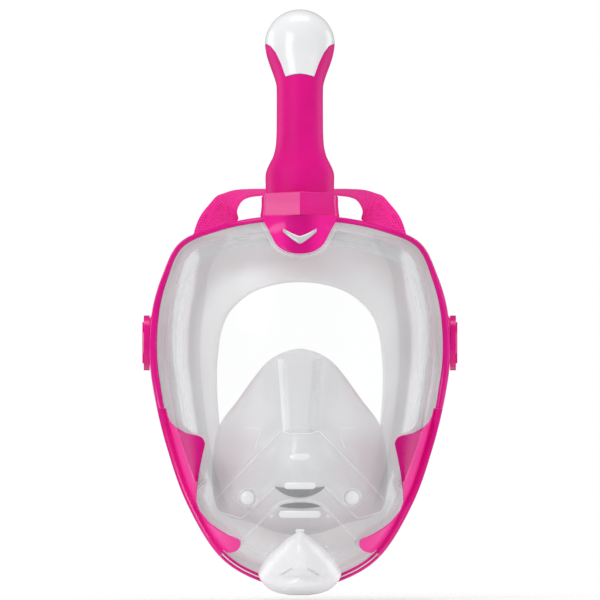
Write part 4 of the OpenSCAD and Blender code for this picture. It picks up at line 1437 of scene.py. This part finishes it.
def cord(name, path, radius, mat, body, slot, closed=True, count=10):
    """A round cord along a path of points."""
    p = np.asarray(path, float)
    n = len(p)
    points, uv = [], []
    for i in range(n):
        before, after = (p[i - 1], p[(i + 1) % n]) if closed else (p[max(i - 1, 0)], p[min(i + 1, n - 1)])
        ahead = unit(after - before)
        side = unit(np.cross(ahead, [0.02, 1, 0.03]))
        up = np.cross(ahead, side)
        for k in range(count):
            q = 2 * math.pi * k / count
            points.append(p[i] + radius * (math.cos(q) * side + math.sin(q) * up))
            uv.append((k * 0.5, i * 1.2))
    return piece(name, points, hull_faces(n, count, closed), mat, body, slot, sharp=80, uv=uv)


# ------------------------------------------------------------------ CAD parts shown as they are

def sides(*names):
    return [f"{name}_{side}" for name in names for side in ("left", "right")]


KEPT = {
    PINK_GLOSS: sides("clip_base", "side_clip", "strap_slider"),
    CUP_SKIN: sides("inhale_seat"),
    WHITE: ["chin_valve_seat", *sides("release_button"), "float_cage", "tube_divider", "latch_button"],
    THIN_SILICONE_AND_HIGHLIGHT: [*sides("inhale_flap", "exhale_flap"), "chin_valve_flap"],
    STEEL: sides("clip_pin"),
    RUBBER: ["tube_seal", "inlet_flap"],
    FOAM: ["float"],
}


def kept_parts():
    for mat, names in KEPT.items():
        for name in names:
            obj = nodes[name]
            obj.data.materials.clear()
            obj.data.materials.append(mat)
            soften(obj, 0.35 if "clip" in name or "slider" in name else 0.15, 3, 40)


# ------------------------------------------------------------------ stage, light and camera


def floor():
    """A pale floor that fades into the backdrop."""
    low = min(cad_low.z, -0.166) - 0.001
    count = 96
    points = [[0, 0, low / MM]]
    for i in range(count):
        q = 2 * math.pi * i / count
        points.append([1500 * math.cos(q), 1500 * math.sin(q), low / MM])
    faces = [(0, 1 + i, 1 + (i + 1) % count) for i in range(count)]
    m, node, link = material("pale_floor")
    place = node("TexCoord")
    cloud = node("TexNoise", Scale=3.0, Detail=3.0, Vector=(place, "Object"))
    tint = node(
        "MixRGB", Color1=(0.93, 0.93, 0.935, 1), Color2=(0.97, 0.97, 0.97, 1),
        Fac=(cloud, "Fac"),
    )
    diffuse = node("BsdfDiffuse", Color=(tint, "Color"))
    clear = node("BsdfTransparent")
    length = node("VectorMath", operation="LENGTH")
    link(place, "Object", length, 0)
    fade = node("MapRange", From_Min=0.1, From_Max=0.45, Value=(length, "Value"))
    fade.interpolation_type = "SMOOTHSTEP"
    both = node("MixShader", Fac=(fade, "Result"))
    link(diffuse, "BSDF", both, 1)
    link(clear, "BSDF", both, 2)
    node("OutputMaterial", Surface=(both, "Shader"))
    piece("floor", points, faces, m)


def backdrop():
    """White to the camera, soft grey to what it lights, nearly black in reflections."""
    world = bpy.data.worlds.new("studio")
    bpy.context.scene.world = world
    world.use_nodes = True
    node, _ = node_makers(world.node_tree)
    path = node("LightPath")
    soft, white, black = (0.68, 0.68, 0.685, 1), (1, 1, 1, 1), (0.1, 0.1, 0.105, 1)
    tint = node("MixRGB", Color1=soft, Color2=white, Fac=(path, "Is Camera Ray"))
    mirror = node("MixRGB", Color1=(tint, "Color"), Color2=black, Fac=(path, "Is Glossy Ray"))
    glow = node("Background", Color=(mirror, "Color"))
    node("OutputWorld", Surface=(glow, "Background"))


def softbox(name, place, aim, width, height, power):
    light = bpy.data.lights.new(name, "AREA")
    light.shape = "RECTANGLE"
    light.size, light.size_y = width, height
    light.energy = power
    obj = bpy.data.objects.new(name, light)
    obj.location = place
    obj.rotation_euler = (Vector(aim) - Vector(place)).to_track_quat("-Z", "Y").to_euler()
    bpy.context.scene.collection.objects.link(obj)


def lights():
    softbox("key", (-0.9, -1.2, 0.8), (0, 0, 0.02), 0.7, 0.7, 8)
    softbox("fill", (1.2, -1.0, 0.2), (0, 0, 0.0), 0.9, 0.9, 3.2)
    softbox("top", (0.0, 0.15, 1.4), (0, 0, 0.0), 0.9, 0.5, 4)
    softbox("back_left", (-1.1, 0.6, 0.1), (0, 0, 0.0), 0.6, 1.2, 4.5)
    softbox("back_right", (1.1, 0.6, 0.1), (0, 0, 0.0), 0.6, 1.2, 4.5)


def camera():
    data = bpy.data.cameras.new("camera")
    data.lens = 1200
    data.sensor_width = 36
    data.clip_start, data.clip_end = 0.05, 50
    obj = bpy.data.objects.new("camera", data)
    bpy.context.scene.collection.objects.link(obj)
    obj.location = (0.0001, -13.03, 0.028)
    obj.rotation_euler = (math.pi / 2, 0, 0)
    bpy.context.scene.camera = obj


visor()
rim_frame()
brackets()
chin_rail()
tongue()
tongue_lip()
chevron()
muzzle_bars()
skirt()
nose_cup()
cup_lines()
nose_stripes()
cup_shadows()
muzzle_lines()
valve_domes()
air_ducts()
chin_cap()
tube()
tube_cap()
socket()
straps()
crown()
rear_pad()
kept_parts()
floor()
backdrop()
lights()
camera()
bpy.context.scene.view_settings.view_transform = "Standard"
